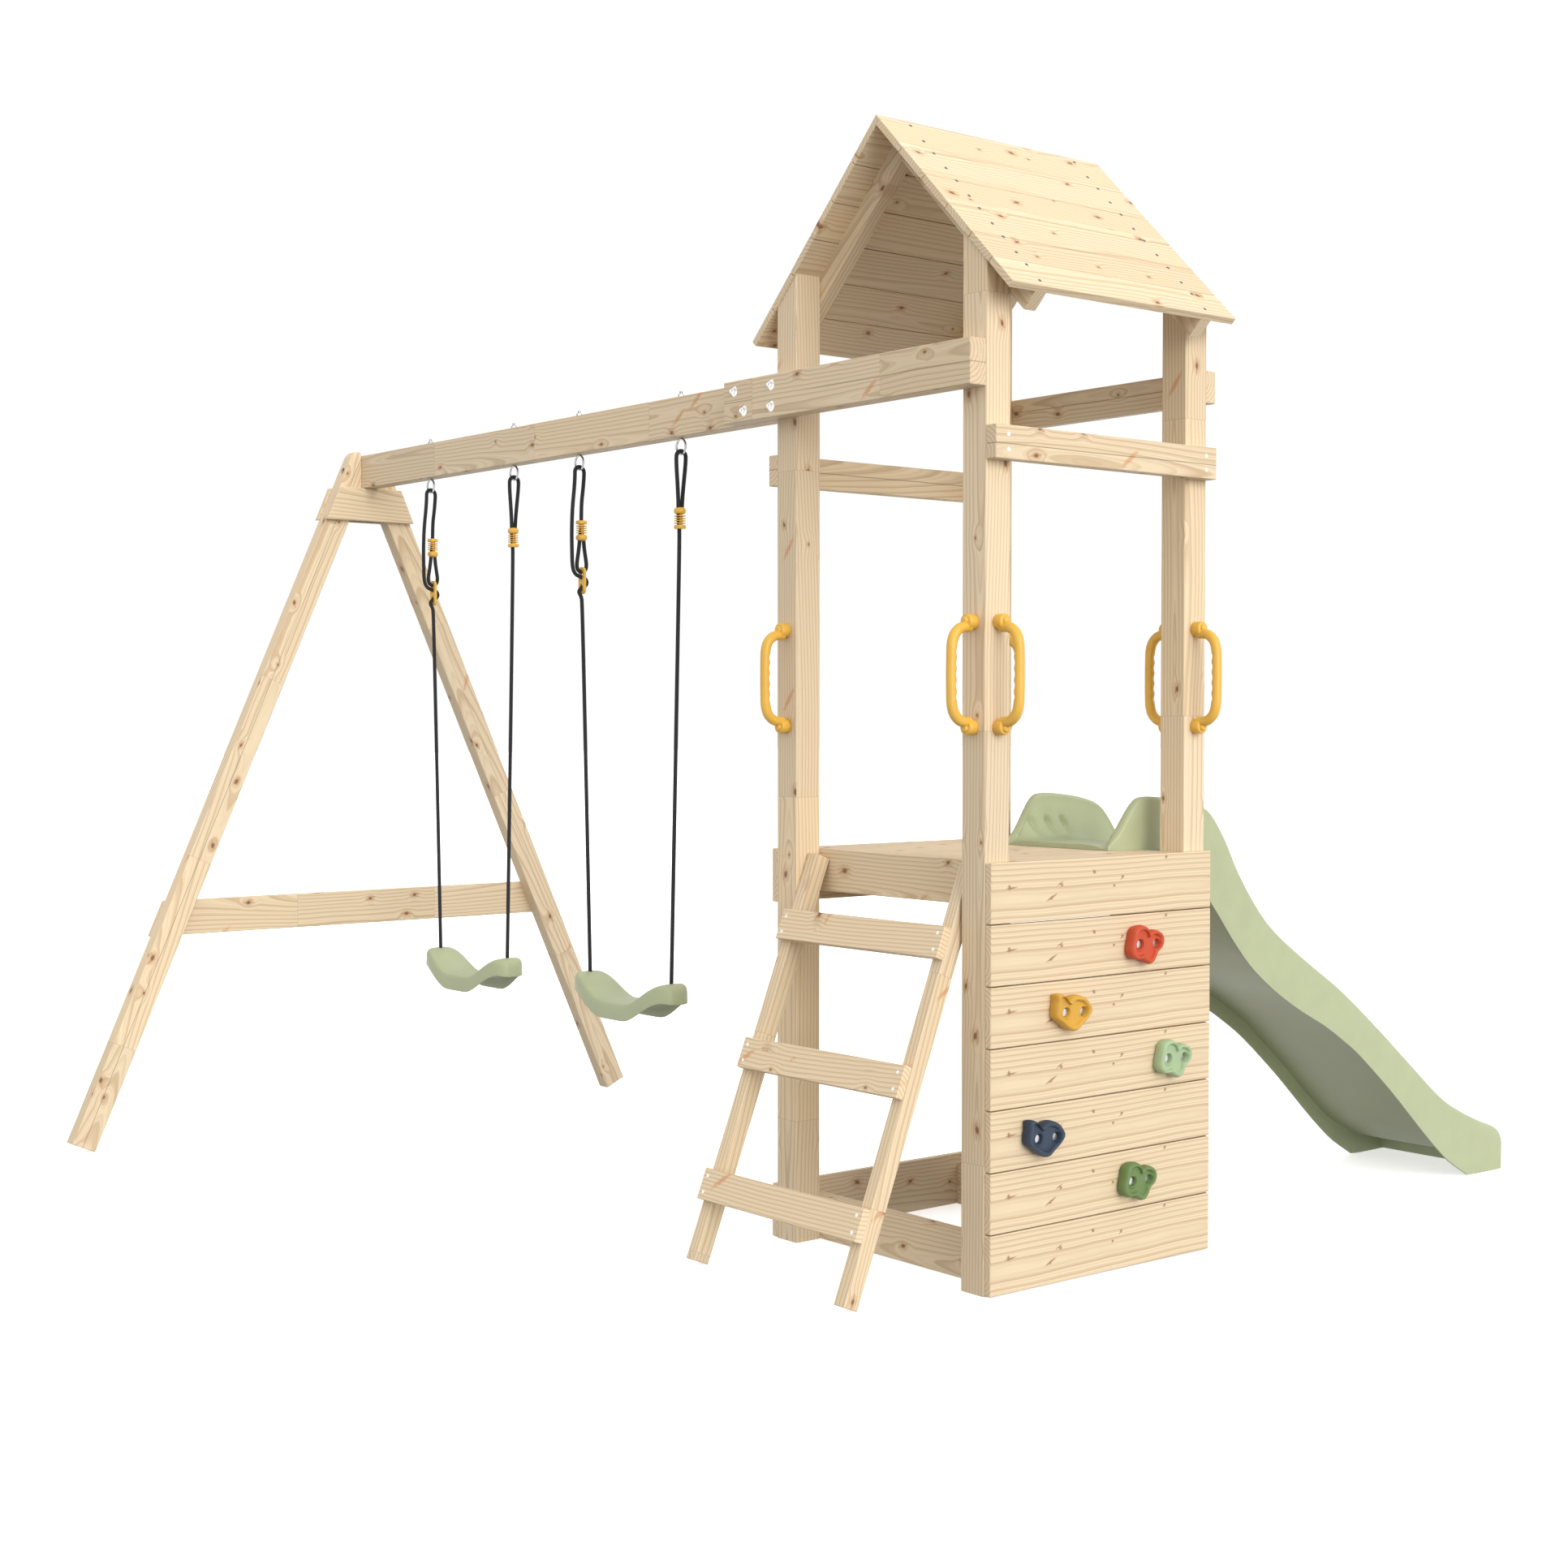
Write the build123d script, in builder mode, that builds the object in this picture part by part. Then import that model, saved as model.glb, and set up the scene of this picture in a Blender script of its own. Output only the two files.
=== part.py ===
from build123d import *
import math
import os

os.makedirs("parts", exist_ok=True)

# Play tower with climbing wall, slide and a two-seat swing beam on an A-frame.
# Millimetres, +Z up, +X from the A-frame towards the tower, +Y towards the slide.

# ---- driving dimensions ----
RIGHT = 1317.23          # tower's right face (climbing wall side)
FRONT = -550.65          # tower's front face (ladder side)
TOWER = 683.0            # tower's outer width and depth
LEFT = RIGHT - TOWER
BACK = FRONT + TOWER
POST = 70.0              # square post
DECK_Z = 900.0           # top of the deck
TIMBER = 96.0            # height of the 45 mm timbers
THICK = 45.0             # thickness of the timbers
BOARD = 18.0             # thickness of the boards
EASE = 1.6               # eased edges of the timber

RIDGE_X = RIGHT - 338.0  # line of the ridge
RIDGE_Z = 2497.0         # top of the ridge
ROOF_T = 16.0            # roof board thickness
ROOF_RIGHT = 592.0       # slope length of the right side
ROOF_LEFT = 610.0        # slope length of the left side
ROOF_F = FRONT - 4.0     # roof's front end
ROOF_B = BACK + 2.0      # roof's back end

BEAM_Z0 = 1877.5         # underside of the swing beam
BEAM_Z1 = 1973.5         # top of the swing beam
BEAM_Y0 = FRONT          # front face of the swing beam
BEAM_Y1 = FRONT + 45.0
BEAM_YM = FRONT + 22.5   # middle plane of the swings
LEG_X1 = RIGHT - 2651.5  # right face of the A-frame legs
LEG_X0 = LEG_X1 - 45.0   # left face of the A-frame legs

ROPE_D = 10.0
SEAT_TOP = 541.0         # seat's top where the ropes enter
SWINGS = [("a", RIGHT - 2063.0), ("b", RIGHT - 1304.5)]
EYE_HALF = 221.5         # half the spacing of a swing's eye bolts
SEAT_HALF = 178.0        # half the spacing of the ropes at the seat
PIVOT_Z = 1837.5         # axis on which the rope loops turn


def save(block, label):
    block.part.label = label
    export_step(block.part, "parts/" + label + ".step")
    box = block.part.bounding_box()
    print(label, len(block.part.solids()), round(block.part.volume), box.min, box.max)


def timbers(label, boxes, ease=EASE):
    """Straight timbers or boards, each given as x0, x1, y0, y1, z0, z1."""
    with BuildPart() as piece:
        for x0, x1, y0, y1, z0, z1 in boxes:
            with BuildSketch(Plane.XY.offset(z0)):
                with Locations(((x0 + x1) / 2, (y0 + y1) / 2)):
                    Rectangle(x1 - x0, y1 - y0)
            extrude(amount=z1 - z0)
        chamfer(piece.edges(), ease)
    save(piece, label)


def timber(label, x0, x1, y0, y1, z0, z1):
    timbers(label, [(x0, x1, y0, y1, z0, z1)])


# ---- four posts, tops cut to the roof slope ----
for label, x0, y0, side in (
    ("post_front_left", LEFT, FRONT, -1),
    ("post_front_right", RIGHT - POST, FRONT, 1),
    ("post_back_right", RIGHT - POST, BACK - POST, 1),
    ("post_back_left", LEFT, BACK - POST, -1),
):
    under = RIDGE_Z - ROOF_T * math.sqrt(2) - 0.05
    za = under - abs(x0 - RIDGE_X)
    zb = under - abs(x0 + POST - RIDGE_X)
    with BuildPart() as post:
        with BuildSketch(Plane.XZ.offset(-y0)):
            with BuildLine():
                Polyline((x0, 0), (x0 + POST, 0), (x0 + POST, zb), (x0, za), close=True)
            make_face()
        extrude(amount=-POST)
        chamfer(post.edges().filter_by(Axis.Z), 2.0)
    save(post, label)

# ---- floor frame and deck ----
LOW_Z1 = 97.0
timber("ground_beam_front", LEFT, RIGHT, FRONT + POST, FRONT + POST + THICK, 1.0, LOW_Z1)
timber("ground_beam_back", LEFT, RIGHT, BACK - POST - THICK, BACK - POST, 1.0, LOW_Z1)
timber("deck_beam_front", LEFT, RIGHT, FRONT + POST, FRONT + POST + THICK, DECK_Z - TIMBER - 1, DECK_Z - 1)
timber("deck_beam_back", LEFT, RIGHT, BACK - POST - THICK, BACK - POST, DECK_Z - TIMBER - 1, DECK_Z - 1)

DECK_Y0 = FRONT + POST + THICK
DECK_Y1 = BACK - POST - THICK
timbers("deck_ledgers", [
    (LEFT, RIGHT, DECK_Y0, DECK_Y0 + 30, DECK_Z - BOARD - 46, DECK_Z - BOARD - 1),
    (LEFT, RIGHT, DECK_Y1 - 30, DECK_Y1, DECK_Z - BOARD - 46, DECK_Z - BOARD - 1),
], 1.0)

DECK_N = 5
DECK_GAP = 4.0
DECK_W = (TOWER - DECK_GAP * (DECK_N - 1)) / DECK_N
timbers("deck_boards", [
    (LEFT + i * (DECK_W + DECK_GAP), LEFT + i * (DECK_W + DECK_GAP) + DECK_W, DECK_Y0, DECK_Y1,
     DECK_Z - BOARD - 1, DECK_Z - 1)
    for i in range(DECK_N)
])

# ---- boards on the outside of the left face ----
timber("side_board_deck", LEFT - BOARD, LEFT, FRONT, BACK, 776.0, 899.0)
timber("side_board_ground", LEFT - BOARD, LEFT, FRONT, BACK, 1.5, 124.5)

# ---- climbing wall ----
WALL_N = 7
WALL_PITCH = DECK_Z / WALL_N
WALL_H = 126.0
timbers("wall_boards", [
    (RIGHT, RIGHT + BOARD, FRONT + 1, BACK + 2, DECK_Z - i * WALL_PITCH - WALL_H, DECK_Z - i * WALL_PITCH)
    for i in range(WALL_N)
])

# ---- guard rails ----
timber("rail_right", RIGHT, RIGHT + 30, FRONT, BACK, 1728.5, 1798.5)
timber("rail_left", LEFT - 30, LEFT, FRONT, BACK, 1728.5, 1798.5)
timber("rail_back", LEFT, RIGHT, BACK, BACK + 30, 1902.0, 1974.0)

# ---- rafters: a pair at each end, inside the posts ----
RAFTER_D = 45.0
RAFTER_W = 32.0
ROOT2 = math.sqrt(2)


def slope(side, s, depth):
    """Point on a slope: s along it from the ridge, depth below its outer surface."""
    return (RIDGE_X + side * (s - depth) / ROOT2, RIDGE_Z - (s + depth) / ROOT2)


TOP_D = ROOF_T + 0.0
BOT_D = ROOF_T + RAFTER_D
for label, y0 in (("rafters_front", FRONT + POST), ("rafters_back", BACK - POST - RAFTER_W)):
    with BuildPart() as rafters:
        for side, reach in ((1, ROOF_RIGHT), (-1, ROOF_LEFT)):
            apex_hi = (RIDGE_X + side * 0.5, RIDGE_Z - TOP_D * ROOT2 - 0.5)
            apex_lo = (RIDGE_X + side * 0.5, RIDGE_Z - BOT_D * ROOT2 - 0.5)
            with BuildSketch(Plane.XZ.offset(-y0)):
                with BuildLine():
                    Polyline(
                        apex_hi,
                        slope(side, reach, TOP_D),
                        slope(side, reach, BOT_D),
                        apex_lo,
                        close=True,
                    )
                make_face()
            extrude(amount=-RAFTER_W)
    save(rafters, label)

# ---- roof boards ----
for side, label, start, ends in (
    (1, "roof_boards_right", ROOF_T, [119.0, 220.5, 322.0, 423.0, 508.0, ROOF_RIGHT]),
    (-1, "roof_boards_left", 0.0, [117.0, 216.0, 314.0, 413.0, 511.0, ROOF_LEFT]),
):
    s0 = start
    with BuildPart() as boards:
        for i in range(6):
            gap = 1.0 if i < 5 else 0.0
            with BuildSketch(Plane.XZ.offset(-ROOF_F)):
                with BuildLine():
                    Polyline(
                        slope(side, s0, 0),
                        slope(side, ends[i] - gap, 0),
                        slope(side, ends[i] - gap, ROOF_T),
                        slope(side, s0, ROOF_T),
                        close=True,
                    )
                make_face()
            extrude(amount=-(ROOF_B - ROOF_F))
            s0 = ends[i] + 1.0
        chamfer(boards.edges(), 0.8)
    save(boards, label)

# ---- swing beam: long piece from the A-frame, splice piece along the tower's front ----
BOLT_R = 4.0
HOLE_R = 4.5
SPLICE_X0 = RIGHT - 824.5
SPLICE_T = 45.0
BOLTS = [(-787.0, 1950.0), (-751.0, 1902.0), (-651.0, 1950.0), (-651.0, 1902.0)]
EYES = [x + side * EYE_HALF for name, x in SWINGS for side in (-1, 1)]
with BuildPart() as beam:
    with BuildSketch(Plane.XY.offset(BEAM_Z0)):
        with Locations(((LEG_X0 + LEFT) / 2, BEAM_YM)):
            Rectangle(LEFT - LEG_X0, BEAM_Y1 - BEAM_Y0)
    extrude(amount=BEAM_Z1 - BEAM_Z0)
    chamfer(beam.edges(), EASE)
    with BuildSketch(Plane.XZ.offset(-BEAM_Y0 + 1)):
        with Locations(*[(RIGHT + x, z) for x, z in BOLTS[:2]]):
            Circle(HOLE_R)
        with Locations((LEG_X0 + 22.5, 1925)):
            Circle(HOLE_R)
    extrude(amount=-60, mode=Mode.SUBTRACT)
    with BuildSketch(Plane.XY.offset(BEAM_Z0 - 1)):
        with Locations(*[(x, BEAM_YM) for x in EYES]):
            Circle(4.3)
    extrude(amount=110, mode=Mode.SUBTRACT)
save(beam, "swing_beam")

with BuildPart() as splice:
    with BuildSketch(Plane.XY.offset(BEAM_Z0)):
        with Locations(((SPLICE_X0 + RIGHT) / 2, FRONT - SPLICE_T / 2)):
            Rectangle(RIGHT - SPLICE_X0, SPLICE_T)
    extrude(amount=BEAM_Z1 - BEAM_Z0)
    chamfer(splice.edges(), EASE)
    with BuildSketch(Plane.XZ.offset(-FRONT + SPLICE_T + 1)):
        with Locations(*[(RIGHT + x, z) for x, z in BOLTS]):
            Circle(HOLE_R)
    extrude(amount=-60, mode=Mode.SUBTRACT)
    with BuildSketch(Plane.XZ.offset(-FRONT + SPLICE_T + 1)):
        with Locations(*[(RIGHT + x, z) for x, z in BOLTS]):
            Circle(13.0)
    extrude(amount=-5, mode=Mode.SUBTRACT)
save(splice, "beam_splice")

# bolt: washer and nut in the counterbore, shank through both timbers, dome head behind
with BuildPart() as bolts:
    for x, z in BOLTS:
        back = BEAM_Y1 if x < -683 else FRONT
        with BuildSketch(Plane.XZ.offset(-FRONT + SPLICE_T - 4)):
            with Locations((RIGHT + x, z)):
                Circle(12.4)
        extrude(amount=2)
        with BuildSketch(Plane.XZ.offset(-FRONT + SPLICE_T - 2)):
            with Locations((RIGHT + x, z)):
                RegularPolygon(7.5, 6)
        extrude(amount=6)
        with BuildSketch(Plane.XZ.offset(-FRONT + SPLICE_T + 9)):
            with Locations((RIGHT + x, z)):
                Circle(BOLT_R)
        extrude(amount=-(SPLICE_T + 9 + back - FRONT))
        if x < -683:
            with BuildSketch(Plane.XZ.offset(-back)):
                with Locations((RIGHT + x, z)):
                    Circle(10.0)
            extrude(amount=-4)
save(bolts, "splice_bolts")

# ---- A-frame ----
LEG_SPREAD = 853.4       # half distance between the inner lower corners
LEG_RUN = 0.4443         # horizontal run for each unit of height
LEG_W = 70.0
lean = math.atan(LEG_RUN)
wide = LEG_W / math.cos(lean)
LEG_TOP = 1985.0
for label, side in (("leg_front", -1), ("leg_back", 1)):
    meet_z = (LEG_SPREAD - 22.5) / LEG_RUN
    outer_x = lambda z: LEG_SPREAD + wide - LEG_RUN * z
    pts = [
        (LEG_SPREAD, 0.0),
        (LEG_SPREAD + LEG_W * math.cos(lean), LEG_W * math.sin(lean)),
        (outer_x(LEG_TOP - 16), LEG_TOP - 16),
        (outer_x(LEG_TOP - 16) - 12, LEG_TOP - 2),
        (30.0, LEG_TOP),
        (22.5, LEG_TOP - 6),
        (22.5, meet_z),
    ]
    with BuildPart() as leg:
        with BuildSketch(Plane.YZ.offset(LEG_X0)):
            with BuildLine():
                Polyline(*[(BEAM_YM + side * y, z) for y, z in pts], close=True)
            make_face()
        extrude(amount=45)
        chamfer(leg.edges(), EASE)
        with BuildSketch(Plane.XZ.offset(-BEAM_YM - side * 0)):
            with Locations((LEG_X0 + 22.5, 1925)):
                Circle(HOLE_R)
        extrude(amount=200, both=True, mode=Mode.SUBTRACT)
        with BuildSketch(Plane.XZ.offset(-BEAM_YM - side * 42.0)):
            with Locations((LEG_X0 + 22.5, 1925)):
                Circle(12.0)
        extrude(amount=-side * 80, mode=Mode.SUBTRACT)
    save(leg, label)

with BuildPart() as apex_bolt:
    with BuildSketch(Plane.XZ.offset(-BEAM_YM + 50)):
        with Locations((LEG_X0 + 22.5, 1925)):
            Circle(BOLT_R)
    extrude(amount=-100)
    for side in (-1, 1):
        with BuildSketch(Plane.XZ.offset(-BEAM_YM - side * 42.0)):
            with Locations((LEG_X0 + 22.5, 1925)):
                Circle(11.0)
        extrude(amount=-side * 2)
        with BuildSketch(Plane.XZ.offset(-BEAM_YM - side * 44.0)):
            with Locations((LEG_X0 + 22.5, 1925)):
                RegularPolygon(7.5, 6)
        extrude(amount=-side * 5)
save(apex_bolt, "apex_bolt")

for label, x0 in (("gusset_inner", LEG_X1), ("gusset_outer", LEG_X0 - BOARD)):
    with BuildPart() as gusset:
        with BuildSketch(Plane.YZ.offset(x0)):
            with BuildLine():
                Polyline(
                    (BEAM_YM - 143, 1780.5), (BEAM_YM + 143, 1780.5),
                    (BEAM_YM + 101, 1877.0), (BEAM_YM - 101, 1877.0), close=True,
                )
            make_face()
        extrude(amount=BOARD)
        chamfer(gusset.edges(), EASE)
    save(gusset, label)

with BuildPart() as crossbar:
    bar_lo = LEG_SPREAD + wide - LEG_RUN * 581.0
    bar_hi = LEG_SPREAD + wide - LEG_RUN * 679.5
    with BuildSketch(Plane.YZ.offset(LEG_X0 - BOARD)):
        with BuildLine():
            Polyline(
                (BEAM_YM - bar_lo, 581.0), (BEAM_YM + bar_lo, 581.0),
                (BEAM_YM + bar_hi, 679.5), (BEAM_YM - bar_hi, 679.5), close=True,
            )
        make_face()
    extrude(amount=BOARD)
    chamfer(crossbar.edges(), EASE)
save(crossbar, "crossbar")

# ---- ladder: two leaning rails between the front posts, rungs on their front ----
LAD_LEAN = math.radians(21.6)
LAD_D = 40.0             # rail depth across the slope
LAD_W = 33.0             # rail thickness
FOOT_Y = FRONT - 277.3   # back lower corner on the ground
LAD_LEN = 943.0
up = (math.sin(LAD_LEAN), math.cos(LAD_LEAN))
fwd = (-math.cos(LAD_LEAN), math.sin(LAD_LEAN))


def ladder_point(s, d):
    """s up the rail from the foot, d in front of the rail's back face."""
    return (FOOT_Y + up[0] * s + fwd[0] * d, up[1] * s + fwd[1] * d)


LAD_R = RIGHT - 78.0
LAD_L = RIGHT - 611.5
for label, x0 in (("ladder_rail_left", LAD_L), ("ladder_rail_right", LAD_R - LAD_W)):
    with BuildPart() as stile:
        with BuildSketch(Plane.YZ.offset(x0)):
            with BuildLine():
                Polyline(
                    ladder_point(0, 0), ladder_point(0, LAD_D),
                    ladder_point(LAD_LEN, LAD_D), ladder_point(LAD_LEN, 0), close=True,
                )
            make_face()
        extrude(amount=LAD_W)
        chamfer(stile.edges(), EASE)
    save(stile, label)

RUNG_W = 70.0
RUNG_T = 20.0
with BuildPart() as rungs:
    for s in (130.0, 431.0, 732.0):
        with BuildSketch(Plane.YZ.offset(LAD_L)):
            with BuildLine():
                Polyline(
                    ladder_point(s, LAD_D), ladder_point(s, LAD_D + RUNG_T),
                    ladder_point(s + RUNG_W, LAD_D + RUNG_T), ladder_point(s + RUNG_W, LAD_D),
                    close=True,
                )
            make_face()
        extrude(amount=LAD_R - LAD_L)
    chamfer(rungs.edges(), EASE)
save(rungs, "ladder_rungs")

# ---- slide: trough with tall entry wings, standing on the deck and on the ground ----
SL_C = RIGHT - 302.0
SL_HALF = 188.0
SL_WALL = 20.0
rim = [
    (515, 906), (549, 938), (598, 1004), (630, 1020), (717, 1014), (791, 1002), (842, 982),
    (891, 925), (946, 835), (1018, 743), (1085, 682), (1140, 643), (1196, 608), (1260, 570),
    (1330, 525), (1399, 476), (1472, 421), (1591, 328), (1654, 276), (1720, 228), (1800, 181),
    (1890, 142), (1962, 116), (1989, 92),
]
hem = [
    (1994, 70), (1994, 0), (1850, 0), (1761, 50), (1703, 95), (1644, 146), (1593, 195), (1524, 254),
    (1460, 309), (1400, 355), (1332, 401), (1261, 443), (1192, 477), (1139, 505), (1071, 546),
    (993, 604), (930, 668), (871, 739), (815, 802), (760, 853), (700, 893), (650, 899),
    (515, 899),
]
bed_low = [
    (515, 899), (650, 899), (700, 896.5), (760, 873), (815, 832), (871, 781), (930, 712),
    (993, 648), (1071, 590), (1139, 549), (1192, 521), (1261, 487), (1332, 445), (1400, 400),
    (1460, 354), (1524, 299), (1593, 240), (1644, 194), (1703, 145), (1761, 104), (1850, 60),
    (1925, 42), (1974, 37), (1976, 3), (1992, 3),
]
with BuildPart() as slide:
    for x0 in (SL_C - SL_HALF, SL_C + SL_HALF - SL_WALL):
        with BuildSketch(Plane.YZ.offset(x0)):
            with BuildLine():
                Polyline(*[(FRONT + y, z) for y, z in rim + hem], close=True)
            make_face()
        extrude(amount=SL_WALL)
    bed_top = [(y + 3.5, z + 9.0) for y, z in reversed(bed_low)]
    with BuildSketch(Plane.YZ.offset(SL_C - SL_HALF + SL_WALL - 1)):
        with BuildLine():
            Polyline(*[(FRONT + y, z) for y, z in bed_low + bed_top], close=True)
        make_face()
    extrude(amount=2 * (SL_HALF - SL_WALL) + 2)
save(slide, "slide")

# ---- hand grips ----
GRIP_OUT = 63.0
GRIP_HALF = 108.5
GRIP_Z = 1288.0
MID_F = FRONT + POST / 2
MID_B = BACK - POST / 2
GRIPS = [
    ("grips_front", [(LEFT + POST / 2, FRONT, -90), (RIGHT - POST / 2, FRONT, -90)]),
    ("grips_wall", [(RIGHT, MID_F, 0), (RIGHT, MID_B, 0)]),
    ("grips_slide", [(RIGHT - POST, MID_B, 180), (LEFT + POST, MID_B, 0)]),
]
for label, spots in GRIPS:
    with BuildPart() as grips:
        for gx, gy, turn in spots:
            out = Vector(1, 0, 0).rotate(Axis.Z, turn)
            across = Vector(0, 1, 0).rotate(Axis.Z, turn)
            pad = Plane(origin=(gx, gy, GRIP_Z), x_dir=across, z_dir=out)
            with BuildSketch(pad):
                with Locations((0, GRIP_HALF), (0, -GRIP_HALF)):
                    Circle(16.0)
            extrude(amount=24)
            stops = [Vector(gx, gy, GRIP_Z) + out * u + Vector(0, 0, w) for u, w in (
                (14, -GRIP_HALF + 6), (GRIP_OUT, -74), (GRIP_OUT, 74), (14, GRIP_HALF - 6))]
            with BuildLine() as bar:
                FilletPolyline(*stops, radius=26)
            with BuildSketch(Plane(origin=stops[0], z_dir=stops[1] - stops[0])):
                Circle(11.5)
            sweep(path=bar.line)
    save(grips, label)

with BuildPart() as caps:
    for label, spots in GRIPS:
        for gx, gy, turn in spots:
            out = Vector(1, 0, 0).rotate(Axis.Z, turn)
            across = Vector(0, 1, 0).rotate(Axis.Z, turn)
            with BuildSketch(Plane(origin=Vector(gx, gy, GRIP_Z) + out * 24, x_dir=across, z_dir=out)):
                with Locations((0, GRIP_HALF + 8.5), (0, -GRIP_HALF - 8.5)):
                    Circle(5.5)
            extrude(amount=4)
save(caps, "grip_caps")

# ---- climbing stones: two lobed outlines, two sunk bolt holes each ----
ROUND = [
    (-43, 35), (-22, 43), (-5, 38), (3, 27), (21, 31), (41, 24), (50, 10), (46, -7), (31, -19),
    (20, -36), (6, -44), (-11, -37), (-22, -32), (-41, -31), (-53, -21), (-55, -7), (-51, 10),
]
EARED = [
    (-53, 41), (-40, 42), (-31, 33), (-21, 27), (-11, 33), (6, 37), (30, 30), (44, 17), (52, 2),
    (42, -13), (22, -28), (2, -40), (-19, -35), (-40, -21), (-56, -8), (-57, 10), (-54, 26),
]
STONES = [
    ("stone_red", 453.0, 707.0, ROUND),
    ("stone_yellow", 225.0, 577.5, EARED),
    ("stone_mint", 546.5, 449.5, ROUND),
    ("stone_navy", 144.0, 320.0, EARED),
    ("stone_green", 432.5, 193.0, ROUND),
]
HOLES = [(-25.0, 1.0), (27.0, -1.0)]
for label, y, z, outline in STONES:
    face = Plane(origin=(RIGHT + BOARD, FRONT + y, z), x_dir=(0, 1, 0), z_dir=(1, 0, 0))
    with BuildPart() as stone:
        for height, scale in ((0, 0.94), (20, 1.0), (30, 0.84)):
            with BuildSketch(face.offset(height)):
                with BuildLine():
                    Spline(*[(u * scale, w * scale) for u, w in outline], periodic=True)
                make_face()
        loft()
        with BuildSketch(face.offset(38)):
            with Locations(*HOLES):
                Circle(10.0)
        extrude(amount=-27, mode=Mode.SUBTRACT)
        with BuildSketch(face.offset(38)):
            with Locations(*HOLES):
                Circle(4.6)
        extrude(amount=-40, mode=Mode.SUBTRACT)
    save(stone, label)

with BuildPart() as stone_bolts:
    for label, y, z, outline in STONES:
        face = Plane(origin=(RIGHT + BOARD, FRONT + y, z), x_dir=(0, 1, 0), z_dir=(1, 0, 0))
        with BuildSketch(face):
            with Locations(*HOLES):
                Circle(4.2)
        extrude(amount=12)
        with BuildSketch(face.offset(11.2)):
            with Locations(*HOLES):
                Circle(8.0)
        extrude(amount=5)
save(stone_bolts, "stone_bolts")

# ---- screw heads on the roof, the rungs and the right rail ----
with BuildPart() as screws:
    for side, rows in (
        (1, (18, 77, 119, 177, 220, 278, 319, 377, 420, 478, 520, 574)),
        (-1, (40, 96, 137, 195, 236, 293, 334, 392, 433, 490, 531, 588)),
    ):
        for s in rows:
            for y in (FRONT + 85, BACK - 87):
                at = slope(side, s + (4 if s in (119, 220, 319, 420) else 0), 0)
                with BuildSketch(Plane(origin=(at[0], y, at[1]), z_dir=(side, 0, 1))):
                    Circle(3.8)
                extrude(amount=0.8)
    for s in (147.0, 183.0, 448.0, 484.0, 749.0, 785.0):
        for x in (LAD_L + LAD_W / 2, LAD_R - LAD_W / 2):
            at = ladder_point(s, LAD_D + RUNG_T)
            with BuildSketch(Plane(origin=(x, at[0], at[1]), z_dir=(0, fwd[0], fwd[1]))):
                Circle(3.8)
            extrude(amount=0.8)
    for y in (FRONT + 35, BACK - 35):
        for z in (1748.0, 1779.0):
            with BuildSketch(Plane(origin=(RIGHT + 30, y, z), z_dir=(1, 0, 0))):
                Circle(4.2)
            extrude(amount=0.8)
save(screws, "screws")

# ---- eye bolts through the beam ----
EYE_R = 18.5
EYE_WIRE = 2.75
with BuildPart() as eye_bolts:
    for x in EYES:
        with BuildSketch(Plane(origin=(x, BEAM_YM, PIVOT_Z), z_dir=(1, 0, 0))):
            Circle(EYE_WIRE)
        revolve(axis=Axis((x, BEAM_YM, PIVOT_Z + EYE_R), (0, 1, 0)), revolution_arc=360)
        with BuildSketch(Plane.XY.offset(PIVOT_Z + 2 * EYE_R)):
            with Locations((x, BEAM_YM)):
                Circle(3.8)
        extrude(amount=BEAM_Z1 + 16 - PIVOT_Z - 2 * EYE_R)
        with BuildSketch(Plane.XY.offset(BEAM_Z1)):
            with Locations((x, BEAM_YM)):
                Circle(11.0)
        extrude(amount=2)
        with BuildSketch(Plane.XY.offset(BEAM_Z1 + 2)):
            with Locations((x, BEAM_YM)):
                RegularPolygon(7.5, 6)
        extrude(amount=6.5)
save(eye_bolts, "eye_bolts")


# ---- swings ----
def corner_radii(points, smallest):
    radii = []
    for p, q, r in zip(points, points[1:], points[2:]):
        a = Vector(*q) - Vector(*p)
        b = Vector(*r) - Vector(*q)
        half = math.radians(a.get_angle(b)) / 2
        reach = 0.45 * min(a.length, b.length)
        radii.append(max(reach / math.tan(half), smallest))
    return radii


def rope(label, points):
    """A round rope along straight runs joined by tangent arcs."""
    radii = corner_radii(points, 1.0)
    with BuildPart() as cord:
        with BuildLine() as path:
            FilletPolyline(*points, radius=radii)
        start = Vector(*points[0])
        with BuildSketch(Plane(origin=start, z_dir=Vector(*points[1]) - start)):
            Circle(ROPE_D / 2)
        sweep()
    want = math.pi * ROPE_D ** 2 / 4 * path.wires()[0].length
    print(label, "length", round(path.wires()[0].length), "volume ratio",
          round(cord.part.volume / want, 4), "radii", [round(r) for r in radii])
    save(cord, label)


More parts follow.
